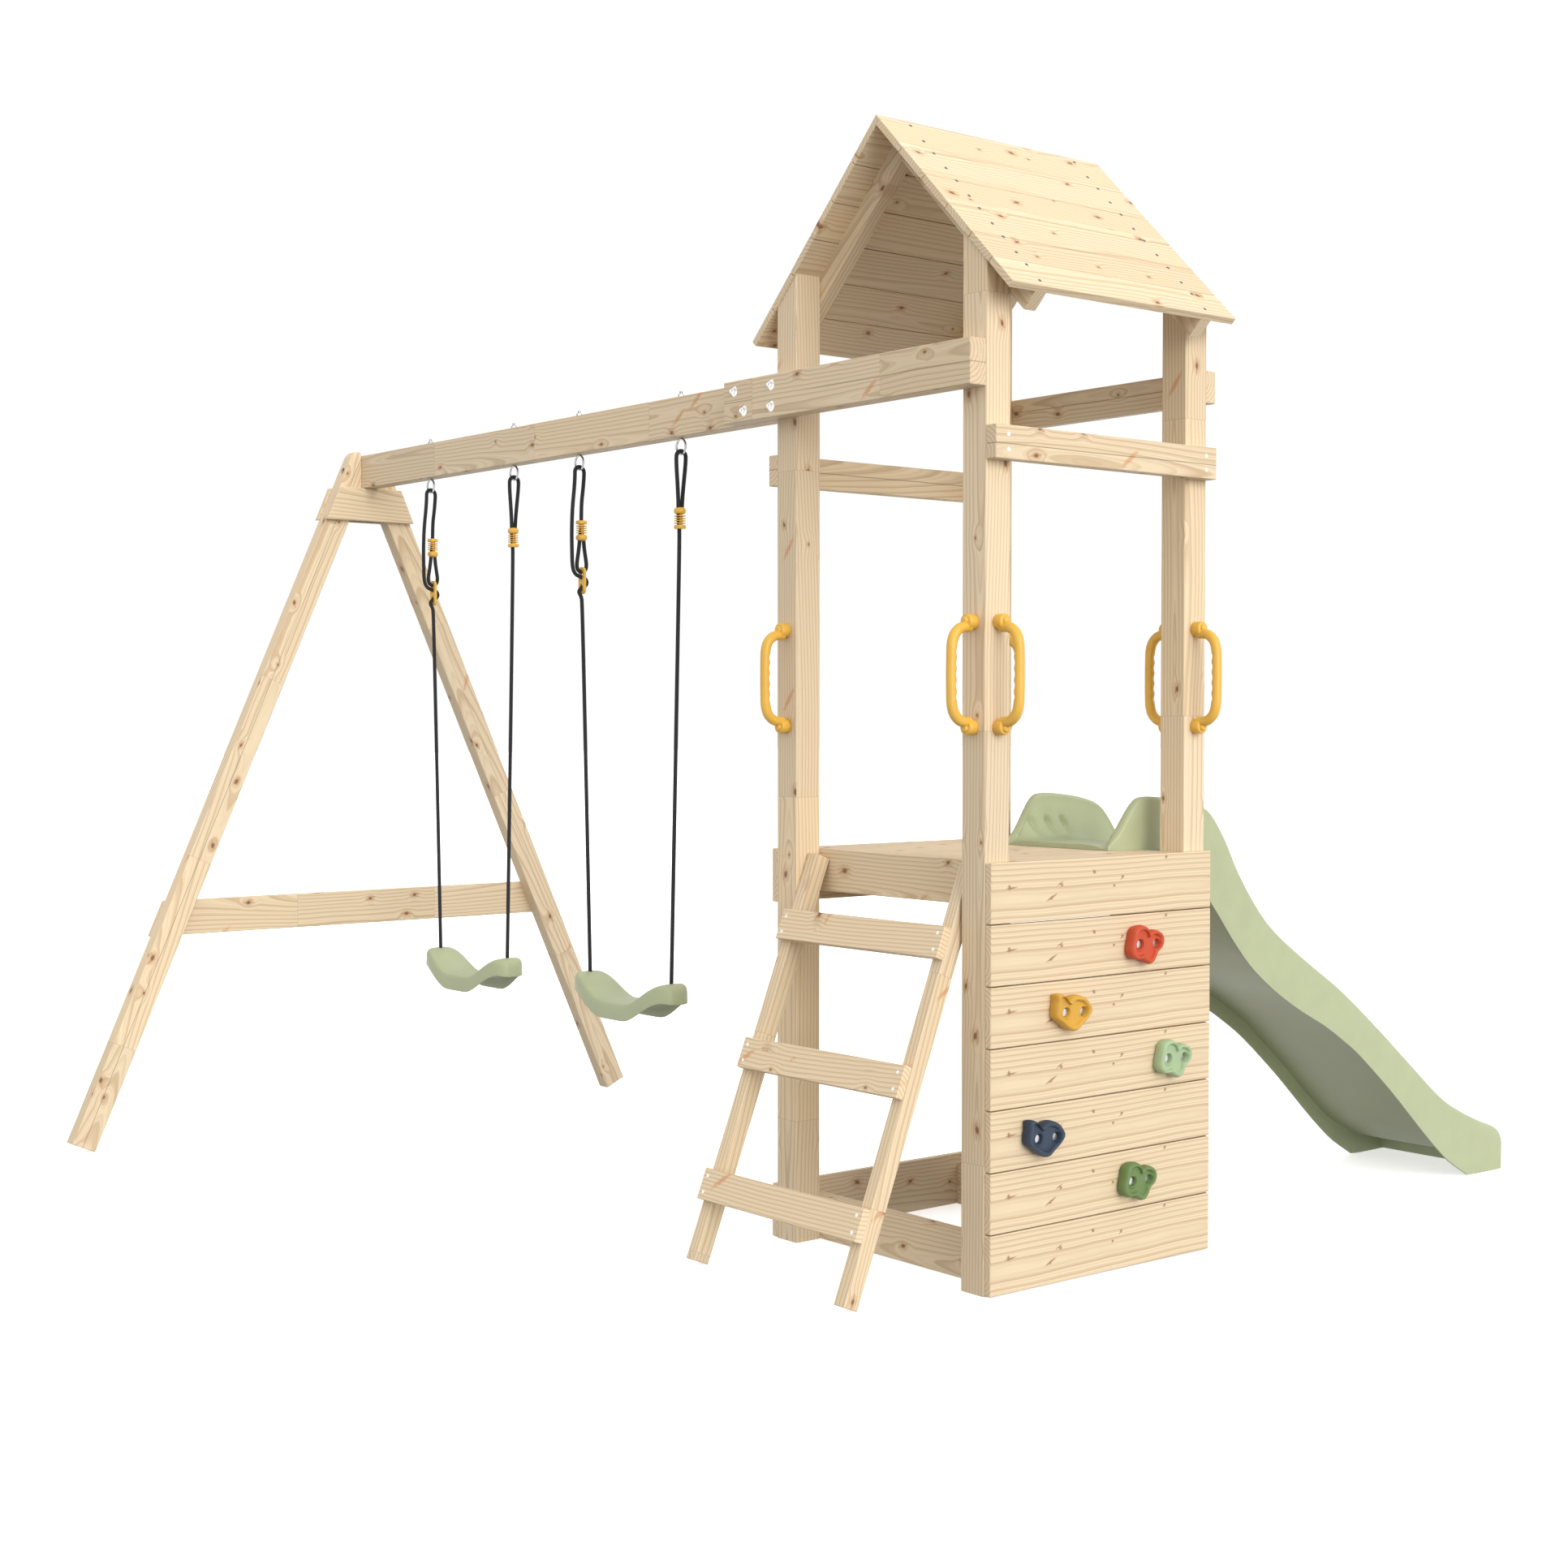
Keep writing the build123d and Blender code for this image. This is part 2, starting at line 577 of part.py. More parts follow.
LOOP_R = 14.0            # rope loop round the eye
LOOP_C = PIVOT_Z + EYE_WIRE + ROPE_D / 2 + 0.4 - LOOP_R
for name, xc in SWINGS:
    # right rope: a loop over the eye, clamped by a ferrule, then straight to the seat
    x_top = xc + EYE_HALF
    x_low = xc + SEAT_HALF

    def on_right(dy, z):
        t = (PIVOT_Z - z) / (PIVOT_Z - SEAT_TOP)
        return (x_top + (x_low - x_top) * max(t, 0), BEAM_YM + dy, z)

    def on_left(dy, z):
        t = (PIVOT_Z - z) / (PIVOT_Z - SEAT_TOP)
        return (xc - EYE_HALF + (EYE_HALF - SEAT_HALF) * max(t, 0), BEAM_YM + dy, z)

    k = LOOP_R
    over = [(-k, LOOP_C - 8), (-k, LOOP_C + k * 0.42), (-k * 0.42, LOOP_C + k),
            (k * 0.42, LOOP_C + k), (k, LOOP_C + k * 0.42), (k, LOOP_C - 8)]
    right = [(5.4, 1699), (5.6, 1722), (9, 1765), (13, 1805)] + over[::-1]
    right += [(-13, 1805), (-9, 1765), (-5.6, 1722), (-5.2, 1694), (-2, 1668), (0, 1630), (0.4, 1100),
              (0, SEAT_TOP - 26)]
    rope("rope_right_" + name, [on_right(dy, z) for dy, z in right])

    # left rope: seat, adjuster, up the front, over the eye, through its ferrule, round the
    # adjuster's upper hole and back into the ferrule
    left = [(0, SEAT_TOP - 26), (0.4, 1000), (0, 1495), (-3, 1512), (-11, 1522), (-4, 1533), (10, 1536.5),
            (17, 1548), (10, 1559.5), (-6, 1562), (-20, 1568), (-28, 1584), (-28.5, 1620),
            (-28, 1680), (-24, 1740), (-17, 1790)]
    left += over + [(10, 1788), (4.5, 1755), (2.6, 1716), (1.5, 1690), (-3, 1664), (-5.2, 1645),
                    (-11, 1612), (-15, 1592), (-12, 1578), (0, 1573.5), (12, 1578), (16, 1592),
                    (13, 1612), (8.4, 1645), (8.2, 1668)]
    rope("rope_left_" + name, [on_left(dy, z) for dy, z in left])

    with BuildPart() as ferrules:
        for top, low, place, up_sign in ((1710, 1656, on_right, 1), (1654, 1708, on_left, -1)):
            # half profile from the ball end down to the flange
            mid = place(0 if up_sign > 0 else 2.5, (top + low) / 2)
            prof = [(0, 0), (8, 0), (11.5, 4), (12.5, 10), (12.5, 15), (9.5, 17), (9.5, 46),
                    (12.5, 46), (12.5, 54), (0, 54)]
            with BuildSketch(Plane.XZ.offset(-mid[1])):
                with BuildLine():
                    Polyline(*[(mid[0] + r, top - up_sign * h) for r, h in prof], close=True)
                make_face()
            revolve(axis=Axis((mid[0], mid[1], 0), (0, 0, 1)), revolution_arc=360)
    save(ferrules, "ferrules_" + name)

    xa = on_left(0, 1552)[0]
    with BuildPart() as adjuster:
        with BuildSketch(Plane.XZ.offset(-BEAM_YM + 2)):
            with Locations((xa, 1552)):
                SlotOverall(70, 26, rotation=90)
            with Locations((xa, 1566.5)):
                SlotOverall(25, 12.6, rotation=90, mode=Mode.SUBTRACT)
            with Locations((xa, 1536.5)):
                Circle(6.8, mode=Mode.SUBTRACT)
        extrude(amount=-7)
    save(adjuster, "adjuster_" + name)

    # seat: saddle with raised ends and a turned-down rim
    SEAT_L = 440.0
    SEAT_W = 120.0
    SAG = 62.0
    arc_top = [(-212, -6), (-178, 0), (-130, -18), (-75, -46), (0, -60), (75, -46), (130, -18),
               (178, 0), (212, -6)]
    arc_low = [(216, -34), (181, -27), (132, -45), (76, -74), (0, -88), (-76, -74), (-132, -45),
               (-181, -27), (-216, -34)]
    with BuildPart() as seat:
        with BuildSketch(Plane.XZ.offset(-(BEAM_YM - SEAT_W / 2))):
            with BuildLine():
                Spline(*[(xc + u, SEAT_TOP + w) for u, w in arc_top])
                Line((xc + 212, SEAT_TOP - 6), (xc + 216, SEAT_TOP - 34))
                Spline(*[(xc + u, SEAT_TOP + w) for u, w in arc_low])
                Line((xc - 216, SEAT_TOP - 34), (xc - 212, SEAT_TOP - 6))
            make_face()
        extrude(amount=-SEAT_W)
        with BuildSketch(Plane.XY.offset(SEAT_TOP - 150)):
            with Locations((xc, BEAM_YM)):
                RectangleRounded(2 * 215, SEAT_W, 45)
        extrude(amount=200, mode=Mode.INTERSECT)
        with BuildSketch(Plane.XZ.offset(-(BEAM_YM - SEAT_W / 2 + 12))):
            with BuildLine():
                Spline(*[(xc + u * 0.94, SEAT_TOP + w - 11) for u, w in arc_top])
                Line((xc + 212 * 0.94, SEAT_TOP - 17), (xc + 212 * 0.94, SEAT_TOP - 120))
                Line((xc + 212 * 0.94, SEAT_TOP - 120), (xc - 212 * 0.94, SEAT_TOP - 120))
                Line((xc - 212 * 0.94, SEAT_TOP - 120), (xc - 212 * 0.94, SEAT_TOP - 17))
            make_face()
        extrude(amount=-(SEAT_W - 24), mode=Mode.SUBTRACT)
        with BuildSketch(Plane.XY.offset(SEAT_TOP - 60)):
            with Locations((xc - SEAT_HALF, BEAM_YM), (xc + SEAT_HALF, BEAM_YM)):
                Circle(5.6)
        extrude(amount=120, mode=Mode.SUBTRACT)
    save(seat, "seat_" + name)

    with BuildPart() as knots:
        for side in (-1, 1):
            with BuildSketch(Plane.XZ.offset(-BEAM_YM)):
                with BuildLine():
                    u = xc + side * (SEAT_HALF - 0.6)
                    Polyline((u, SEAT_TOP - 44), (u + 10, SEAT_TOP - 40), (u + 12, SEAT_TOP - 33),
                             (u + 9, SEAT_TOP - 24), (u, SEAT_TOP - 24), close=True)
                make_face()
            revolve(axis=Axis((xc + side * (SEAT_HALF - 0.6), BEAM_YM, 0), (0, 0, 1)), revolution_arc=360)
    save(knots, "rope_knots_" + name)
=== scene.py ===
import math

import bpy
import numpy as np
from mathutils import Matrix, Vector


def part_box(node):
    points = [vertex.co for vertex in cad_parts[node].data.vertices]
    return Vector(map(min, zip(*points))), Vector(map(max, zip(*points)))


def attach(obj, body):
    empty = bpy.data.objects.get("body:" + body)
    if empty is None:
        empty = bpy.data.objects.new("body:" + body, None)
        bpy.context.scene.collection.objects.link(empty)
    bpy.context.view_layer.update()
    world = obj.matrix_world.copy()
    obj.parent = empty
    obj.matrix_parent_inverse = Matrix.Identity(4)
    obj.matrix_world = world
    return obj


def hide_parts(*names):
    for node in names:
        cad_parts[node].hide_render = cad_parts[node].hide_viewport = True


bl_info = {
    "name": "Play tower with swings",
    "version": (1, 0, 0),
    "blender": (4, 5, 0),
    "location": "View3D > Sidebar > Tower",
    "description": "Finishes and moulded pieces of a wooden play tower with slide and swings",
    "category": "Object",
}

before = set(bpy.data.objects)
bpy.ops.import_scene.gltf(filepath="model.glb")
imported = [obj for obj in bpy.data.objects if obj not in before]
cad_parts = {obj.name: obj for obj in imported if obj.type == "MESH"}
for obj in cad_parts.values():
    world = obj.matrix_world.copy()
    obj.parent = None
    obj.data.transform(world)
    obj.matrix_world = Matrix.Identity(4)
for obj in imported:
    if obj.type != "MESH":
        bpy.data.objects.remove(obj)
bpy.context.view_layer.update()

# The tower's right and front faces, in metres, and the middle plane of the swings.
RIGHT, FRONT = 1.31723, -0.55065
LEFT, BACK = RIGHT - 0.683, FRONT + 0.683
SWING_Y = FRONT + 0.0225
# Each swing's middle; the ropes turn at PIVOT_Z, EYE_HALF from it, and are drawn in towards the seat.
SWINGS = (("a", RIGHT - 2.063), ("b", RIGHT - 1.3045))
EYE_HALF, DRAWN_IN = 0.2215, 0.0435
PIVOT_Z, SEAT_Z = 1.8375, 0.541
# The height whose place on the rope the ferrules take, the slide's middle, and the grips' middle height.
FERRULE_Z = 1.683
SLIDE_X = RIGHT - 0.302
GRIP_Z = 1.288
# Knots listed one by one are drawn this much larger than their numbers.
MARK_SIZE = 1.55
RIDGE_X, RIDGE_Z = RIGHT - 0.338, 2.497
LEAN = math.atan(0.4443)
LADDER_LEAN = math.radians(21.6)


# ---------------------------------------------------------------- meshes


def quads(rows, cols, closed=False):
    """Corner numbers of the quads of a grid, row by row; closed joins the last column to the first."""
    i = np.arange(rows - 1)[:, None]
    j = np.arange(cols if closed else cols - 1)[None, :]
    k = (j + 1) % cols
    low, high = i * cols, (i + 1) * cols
    return np.stack([low + j, low + k, high + k, high + j], axis=-1).reshape(-1, 4)


def make(name, points, faces, uv=None, smooth=True):
    """A mesh object from an N x 3 array and a list of faces; uv holds one pair for each face corner."""
    mesh = bpy.data.meshes.new(name)
    spots = np.asarray(points, float).reshape(-1, 3).tolist()
    mesh.from_pydata(spots, [], [list(map(int, f)) for f in faces])
    mesh.polygons.foreach_set("use_smooth", [smooth] * len(mesh.polygons))
    if uv is not None:
        layer = mesh.uv_layers.new(name="along")
        flat = np.zeros((len(mesh.loops), 2))
        flat[: len(uv)] = uv
        layer.data.foreach_set("uv", flat.ravel())
    mesh.validate()
    obj = bpy.data.objects.new(name, mesh)
    bpy.context.scene.collection.objects.link(obj)
    return obj


def gather(parts):
    """Several (points, faces) pairs as one pair."""
    points, faces, start = [], [], 0
    for p, f in parts:
        p = np.asarray(p, float).reshape(-1, 3)
        points.append(p)
        faces += [[int(n) + start for n in face] for face in f]
        start += len(p)
    return np.concatenate(points), faces


def smooth_line(points, count):
    """Points evenly spread in parameter along a Catmull-Rom curve through the given ones."""
    p = np.asarray(points, float)
    p = np.vstack([2 * p[0] - p[1], p, 2 * p[-1] - p[-2]])
    t = np.linspace(0, len(p) - 3 - 1e-9, count)
    i = t.astype(int)
    f = (t - i)[:, None]
    a, b, c, d = p[i], p[i + 1], p[i + 2], p[i + 3]
    return 0.5 * (2 * b + (c - a) * f + (2 * a - 5 * b + 4 * c - d) * f**2 + (3 * b - a - 3 * c + d) * f**3)


def smooth_ring(points, count):
    """The same, closed."""
    p = np.asarray(points, float)
    n = len(p)
    t = np.linspace(0, n, count, endpoint=False)
    i = t.astype(int)
    f = (t - i)[:, None]
    a, b, c, d = p[(i - 1) % n], p[i % n], p[(i + 1) % n], p[(i + 2) % n]
    return 0.5 * (2 * b + (c - a) * f + (2 * a - 5 * b + 4 * c - d) * f**2 + (3 * b - a - 3 * c + d) * f**3)


def spread(points, step):
    """Points a fixed step apart along a dense line."""
    p = np.asarray(points, float)
    s = np.concatenate([[0], np.cumsum(np.linalg.norm(np.diff(p, axis=0), axis=1))])
    t = np.linspace(0, s[-1], max(int(s[-1] / step), 4))
    return np.stack([np.interp(t, s, p[:, k]) for k in range(3)], axis=1), t


def tube(line, radius, across, sides=16):
    """A closed tube: at each point of the line a circle whose first axis is across, squared up to the
    line's direction; radius is a number or an array of line points by sides."""
    line = np.asarray(line, float)
    ahead = np.gradient(line, axis=0)
    ahead /= np.linalg.norm(ahead, axis=1)[:, None]
    a = np.asarray(across, float) - ahead * (ahead @ np.asarray(across, float))[:, None]
    a /= np.linalg.norm(a, axis=1)[:, None]
    b = np.cross(ahead, a)
    turn = np.linspace(0, 2 * np.pi, sides, endpoint=False)
    r = np.broadcast_to(np.asarray(radius, float), (len(line), sides))
    ring = a[:, None, :] * (np.cos(turn)[None, :] * r)[..., None]
    ring = ring + b[:, None, :] * (np.sin(turn)[None, :] * r)[..., None]
    points = (line[:, None, :] + ring).reshape(-1, 3)
    faces = quads(len(line), sides, True).tolist()
    last = (len(line) - 1) * sides
    return points, faces + [list(range(sides))[::-1], list(range(last, last + sides))]


def lathe(profile, centre, axis, side, steps=32):
    """A profile of (radius, height) pairs turned about an axis through centre; closed at both ends."""
    prof = np.asarray(profile, float)
    axis, side = np.asarray(axis, float), np.asarray(side, float)
    other = np.cross(axis, side)
    turn = np.linspace(0, 2 * np.pi, steps, endpoint=False)
    ring = side[None, :] * np.cos(turn)[:, None] + other[None, :] * np.sin(turn)[:, None]
    points = np.asarray(centre, float) + prof[:, 0][:, None, None] * ring[None]
    points = points + prof[:, 1][:, None, None] * axis
    faces = quads(len(prof), steps, True).tolist()
    last = (len(prof) - 1) * steps
    return points.reshape(-1, 3), faces + [list(range(steps))[::-1], list(range(last, last + steps))]


# ---------------------------------------------------------------- shaders


class Bench:
    """Short calls that place shader nodes in one tree and join them."""

    def __init__(self, tree):
        self.tree = tree

    def add(self, kind, **settings):
        node = self.tree.nodes.new("ShaderNode" + kind)
        for key, value in settings.items():
            setattr(node, key, value)
        return node

    def feed(self, socket, value):
        if isinstance(value, bpy.types.NodeSocket):
            self.tree.links.new(value, socket)
        elif value is not None:
            socket.default_value = value

    def math(self, operation, *values, clamp=False):
        node = self.add("Math", operation=operation, use_clamp=clamp)
        for socket, value in zip(node.inputs, values):
            self.feed(socket, value)
        return node.outputs[0]

    def vmath(self, operation, *values):
        node = self.add("VectorMath", operation=operation)
        for socket, value in zip(node.inputs, values):
            self.feed(socket, value)
        return node.outputs["Value" if operation in ("LENGTH", "DISTANCE", "DOT_PRODUCT") else "Vector"]

    def join(self, x=0.0, y=0.0, z=0.0):
        node = self.add("CombineXYZ")
        for socket, value in zip(node.inputs, (x, y, z)):
            self.feed(socket, value)
        return node.outputs[0]

    def split(self, vector):
        node = self.add("SeparateXYZ")
        self.feed(node.inputs[0], vector)
        return node.outputs

    def noise(self, vector, scale=1.0, detail=2.0, roughness=0.5):
        node = self.add("TexNoise", noise_dimensions="3D")
        self.feed(node.inputs["Vector"], vector)
        for key, value in (("Scale", scale), ("Detail", detail), ("Roughness", roughness)):
            node.inputs[key].default_value = value
        return node.outputs["Fac"]

    def ease(self, value, low, high, to_low=0.0, to_high=1.0):
        node = self.add("MapRange", interpolation_type="SMOOTHSTEP")
        for socket, v in zip(node.inputs, (value, low, high, to_low, to_high)):
            self.feed(socket, v)
        return node.outputs[0]

    def blend(self, share, a, b, how="MIX"):
        node = self.add("Mix", data_type="RGBA", blend_type=how)
        for socket, value in ((node.inputs[0], share), (node.inputs[6], a), (node.inputs[7], b)):
            self.feed(socket, value)
        return node.outputs[2]


def finish(name, metallic=0.0, specular=0.5, coat=0.0):
    """A new material with its bench and shader."""
    mat = bpy.data.materials.new(name)
    mat.use_nodes = True
    mat.node_tree.nodes.clear()
    bench = Bench(mat.node_tree)
    out = bench.add("OutputMaterial")
    shader = bench.add("BsdfPrincipled")
    shader.inputs["Metallic"].default_value = metallic
    shader.inputs["Specular IOR Level"].default_value = specular
    shader.inputs["Coat Weight"].default_value = coat
    bench.tree.links.new(shader.outputs[0], out.inputs[0])
    return mat, bench, shader


def rough_up(bench, shader, height, strength, distance):
    """Joins a height to the shader through a bump node."""
    bump = bench.add("Bump")
    bump.inputs["Strength"].default_value = strength
    bump.inputs["Distance"].default_value = distance
    bench.feed(bump.inputs["Height"], height)
    bench.feed(shader.inputs["Normal"], bump.outputs[0])


def grain_group(look):
    """Softwood: growth rings are distances from a pith line beside the board, bent by slow noise; knots
    sit in the cells of a flat Voronoi pattern, with a dark core and an orange halo; long flames are
    slanting ellipses in wider cells; each glued length shifts the whole pattern and its tone."""
    group = bpy.data.node_groups.new("softwood", "ShaderNodeTree")
    for kind, label in (("NodeSocketVector", "Grain"), ("NodeSocketVector", "Face"),
                        ("NodeSocketFloat", "Seed"), ("NodeSocketFloat", "Length"),
                        ("NodeSocketFloat", "Crack"), ("NodeSocketFloat", "Crack At"),
                        ("NodeSocketFloat", "Flames"), ("NodeSocketFloat", "Knots"),
                        ("NodeSocketFloat", "Marks")):
        group.interface.new_socket(label, in_out="INPUT", socket_type=kind)
    for kind, label in (("NodeSocketColor", "Color"), ("NodeSocketFloat", "Height"),
                        ("NodeSocketFloat", "Rough")):
        group.interface.new_socket(label, in_out="OUTPUT", socket_type=kind)
    b = Bench(group)
    ins = group.nodes.new("NodeGroupInput").outputs
    out = group.nodes.new("NodeGroupOutput").inputs
    u, v, w = b.split(ins["Grain"])
    along = b.math("ADD", b.math("DIVIDE", u, ins["Length"]), b.math("MULTIPLY", ins["Seed"], 0.37))
    piece = b.math("FLOOR", along)
    key = b.math("ADD", b.math("MULTIPLY", piece, 1.37), b.math("MULTIPLY", ins["Seed"], 7.13))
    white = b.add("TexWhiteNoise", noise_dimensions="1D")
    b.feed(white.inputs["W"], key)
    rx, ry, rz = b.split(white.outputs["Color"])
    far = b.math("MULTIPLY_ADD", rx, 9.0, u)
    base = b.join(far, v, w)
    slow = b.noise(b.vmath("MULTIPLY", base, (0.9, 2.0, 2.0)), detail=1.0)
    lift = b.noise(b.join(b.math("MULTIPLY", far, 1.1), 5.0, 1.0), detail=0.0)
    bend = b.noise(b.vmath("MULTIPLY", base, (5.0, 14.0, 14.0)), detail=2.0)
    pv = b.math("ADD", v, b.math("MULTIPLY_ADD", ry, 0.13, -0.065))
    pv = b.math("ADD", pv, b.math("MULTIPLY_ADD", slow, 0.034, -0.017))
    pw = b.math("ADD", w, b.math("MULTIPLY_ADD", rz, 0.020, 0.034))
    pw = b.math("ADD", pw, b.math("MULTIPLY_ADD", lift, 0.090, -0.045))
    radius = b.vmath("LENGTH", b.join(pv, pw, 0.0))
    radius = b.math("ADD", radius, b.math("MULTIPLY", bend, 0.0046))

    # knots, on the face's own two coordinates, in metres from the middle of each cell
    fu, fv = b.split(ins["Face"])[:2]
    face = b.join(b.math("MULTIPLY_ADD", rx, 4.0, fu), b.math("MULTIPLY_ADD", ry, 3.0, fv), 0.0)
    wobble = b.math("SUBTRACT", b.noise(b.vmath("MULTIPLY", face, (150.0, 240.0, 1.0)), detail=2.0), 0.5)

    def cells(scale):
        """The offset from a cell's own point in metres, and the cell's three random numbers."""
        node = b.add("TexVoronoi", voronoi_dimensions="2D", feature="F1")
        node.inputs["Scale"].default_value = 1.0
        where = b.vmath("MULTIPLY", face, scale)
        b.feed(node.inputs["Vector"], where)
        off = b.vmath("DIVIDE", b.vmath("SUBTRACT", where, node.outputs["Position"]), scale)
        return b.split(off)[:2], b.split(node.outputs["Color"])

    (du, dv), (pick, size, tone) = cells((6.5, 15.0, 1.0))
    near = b.vmath("LENGTH", b.join(b.math("MULTIPLY", du, 0.72), dv, 0.0))
    near = b.math("ADD", near, b.math("MULTIPLY", wobble, 0.0032))
    there = b.math("GREATER_THAN", b.math("MULTIPLY", pick, ins["Knots"]), look.clear)
    reach = b.math("MULTIPLY_ADD", size, 0.0048, 0.0034)
    core = b.math("MULTIPLY", b.ease(near, reach, b.math("MULTIPLY", reach, 0.4)), there)
    halo = b.math("MULTIPLY", b.ease(near, b.math("MULTIPLY", reach, 2.7), reach), there)
    # a short rust-coloured spike beside a knot, on its own slant
    lean = b.math("MULTIPLY_ADD", tone, 1.5, -0.75)
    lie = b.math("ADD", du, b.math("MULTIPLY", dv, lean))
    cross = b.math("SUBTRACT", dv, b.math("MULTIPLY", du, lean))
    spike = b.vmath("LENGTH", b.join(b.math("DIVIDE", lie, 0.022), b.math("DIVIDE", cross, 0.0032), 0.0))
    spike = b.math("ADD", spike, b.math("MULTIPLY", wobble, 0.9))
    spike = b.math("MULTIPLY", b.ease(spike, 1.2, 0.3),
                   b.math("MULTIPLY", there, b.math("GREATER_THAN", size, 0.35)))
    rise = b.ease(near, 0.030, 0.002)
    radius = b.math("SUBTRACT", radius, b.math("MULTIPLY", b.math("MULTIPLY", rise, there), 0.0065))

    # flames: long slanting streaks where a branch was cut along its length
    (gu, gv), (wp, _, _) = cells((1.9, 7.0, 1.0))
    lie = b.math("ADD", b.math("MULTIPLY", gu, 0.80), b.math("MULTIPLY", gv, 0.60))
    cross = b.math("SUBTRACT", b.math("MULTIPLY", gv, 0.80), b.math("MULTIPLY", gu, 0.60))
    flame = b.vmath("LENGTH", b.join(b.math("DIVIDE", lie, 0.036), b.math("DIVIDE", cross, 0.0068), 0.0))
    flame = b.math("ADD", flame, b.math("MULTIPLY", wobble, 1.2))
    flame = b.math("MULTIPLY", b.ease(flame, 1.25, 0.30),
                   b.math("GREATER_THAN", b.math("MULTIPLY", wp, ins["Flames"]), 0.45))

    turns = b.math("FRACT", b.math("DIVIDE", radius, look.ring))
    late = b.math("MULTIPLY", b.ease(turns, 0.45, 0.90), b.ease(turns, 1.0, 0.92))
    half = b.math("FRACT", b.math("DIVIDE", radius, look.ring * 0.37))
    half = b.math("MULTIPLY", b.ease(half, 0.35, 0.90), b.ease(half, 1.0, 0.90))
    fibre = b.noise(b.vmath("MULTIPLY", base, (9.0, 620.0, 620.0)), detail=2.0, roughness=0.6)
    patch = b.noise(b.vmath("MULTIPLY", base, (1.5, 8.0, 8.0)), detail=2.0)
    color = b.blend(b.math("MULTIPLY", late, b.math("MULTIPLY_ADD", patch, 0.66, 0.26)), tuple(look.pale),
                    tuple(look.late))
    color = b.blend(b.math("MULTIPLY", half, b.math("MULTIPLY_ADD", patch, -0.55, 0.52)), color,
                    tuple(look.late))
    color = b.blend(b.ease(patch, 0.35, 0.75, 0.0, 0.30), color, tuple(look.pink))
    color = b.blend(b.math("MULTIPLY_ADD", fibre, 0.30, -0.05, clamp=True), color, tuple(look.late))
    color = b.blend(b.math("MULTIPLY", halo, 0.38), color, (0.47, 0.25, 0.11, 1))
    color = b.blend(b.math("MULTIPLY", spike, 0.62), color, (0.42, 0.19, 0.075, 1))
    color = b.blend(b.math("MULTIPLY", core, 0.85), color, (0.19, 0.085, 0.035, 1))
    color = b.blend(b.math("MULTIPLY", flame, 0.70), color, (0.60, 0.27, 0.11, 1))
    color = b.blend(b.math("MULTIPLY", ins["Marks"], 0.80), color, (0.26, 0.115, 0.045, 1))
    drift = b.math("MULTIPLY_ADD", b.noise(b.join(b.math("MULTIPLY", far, 2.5), 0.0, 0.0), detail=2.0),
                   0.006, -0.003)
    gap = b.math("ABSOLUTE", b.math("SUBTRACT", b.math("SUBTRACT", v, ins["Crack At"]), drift))
    open_at = b.ease(b.noise(b.join(b.math("MULTIPLY", far, 1.7), 9.0, 0.0), detail=1.0), 0.34, 0.46)
    crack = b.math("MULTIPLY", b.math("MULTIPLY", b.ease(gap, 0.0016, 0.0006), ins["Crack"]), open_at)
    color = b.blend(b.math("MULTIPLY", crack, 0.62), color, (0.17, 0.115, 0.07, 1))
    seam = b.math("SUBTRACT", 0.5, b.math("ABSOLUTE", b.math("SUBTRACT", b.math("FRACT", along), 0.5)))
    seam = b.ease(b.math("MULTIPLY", seam, ins["Length"]), 0.0010, 0.0003)
    color = b.blend(b.math("MULTIPLY", seam, 0.30), color, (0.30, 0.20, 0.11, 1))
    shade = b.math("MULTIPLY_ADD", rz, 0.11, 0.935)
    warm = b.join(shade,
                  b.math("MULTIPLY", shade, b.math("MULTIPLY_ADD", rx, 0.02, 0.99)),
                  b.math("MULTIPLY", shade, b.math("MULTIPLY_ADD", rx, 0.07, 0.96)))
    b.feed(out["Color"], b.vmath("MULTIPLY", color, warm))
    height = b.math("SUBTRACT", b.math("MULTIPLY", fibre, 0.5), b.math("MULTIPLY", late, 0.35))
    height = b.math("SUBTRACT", height, b.math("MULTIPLY", crack, 3.0))
    height = b.math("SUBTRACT", height, b.math("MULTIPLY", core, 0.4))
    b.feed(out["Height"], height)
    b.feed(out["Rough"], b.math("MULTIPLY_ADD", fibre, 0.16, 0.54))
    return group


# which coordinates run along the grain, across it and through it; Z2 has the last two the other way round
AXES = {"X": (0, 2, 1), "Y": (1, 2, 0), "Z": (2, 0, 1), "Z2": (2, 1, 0)}


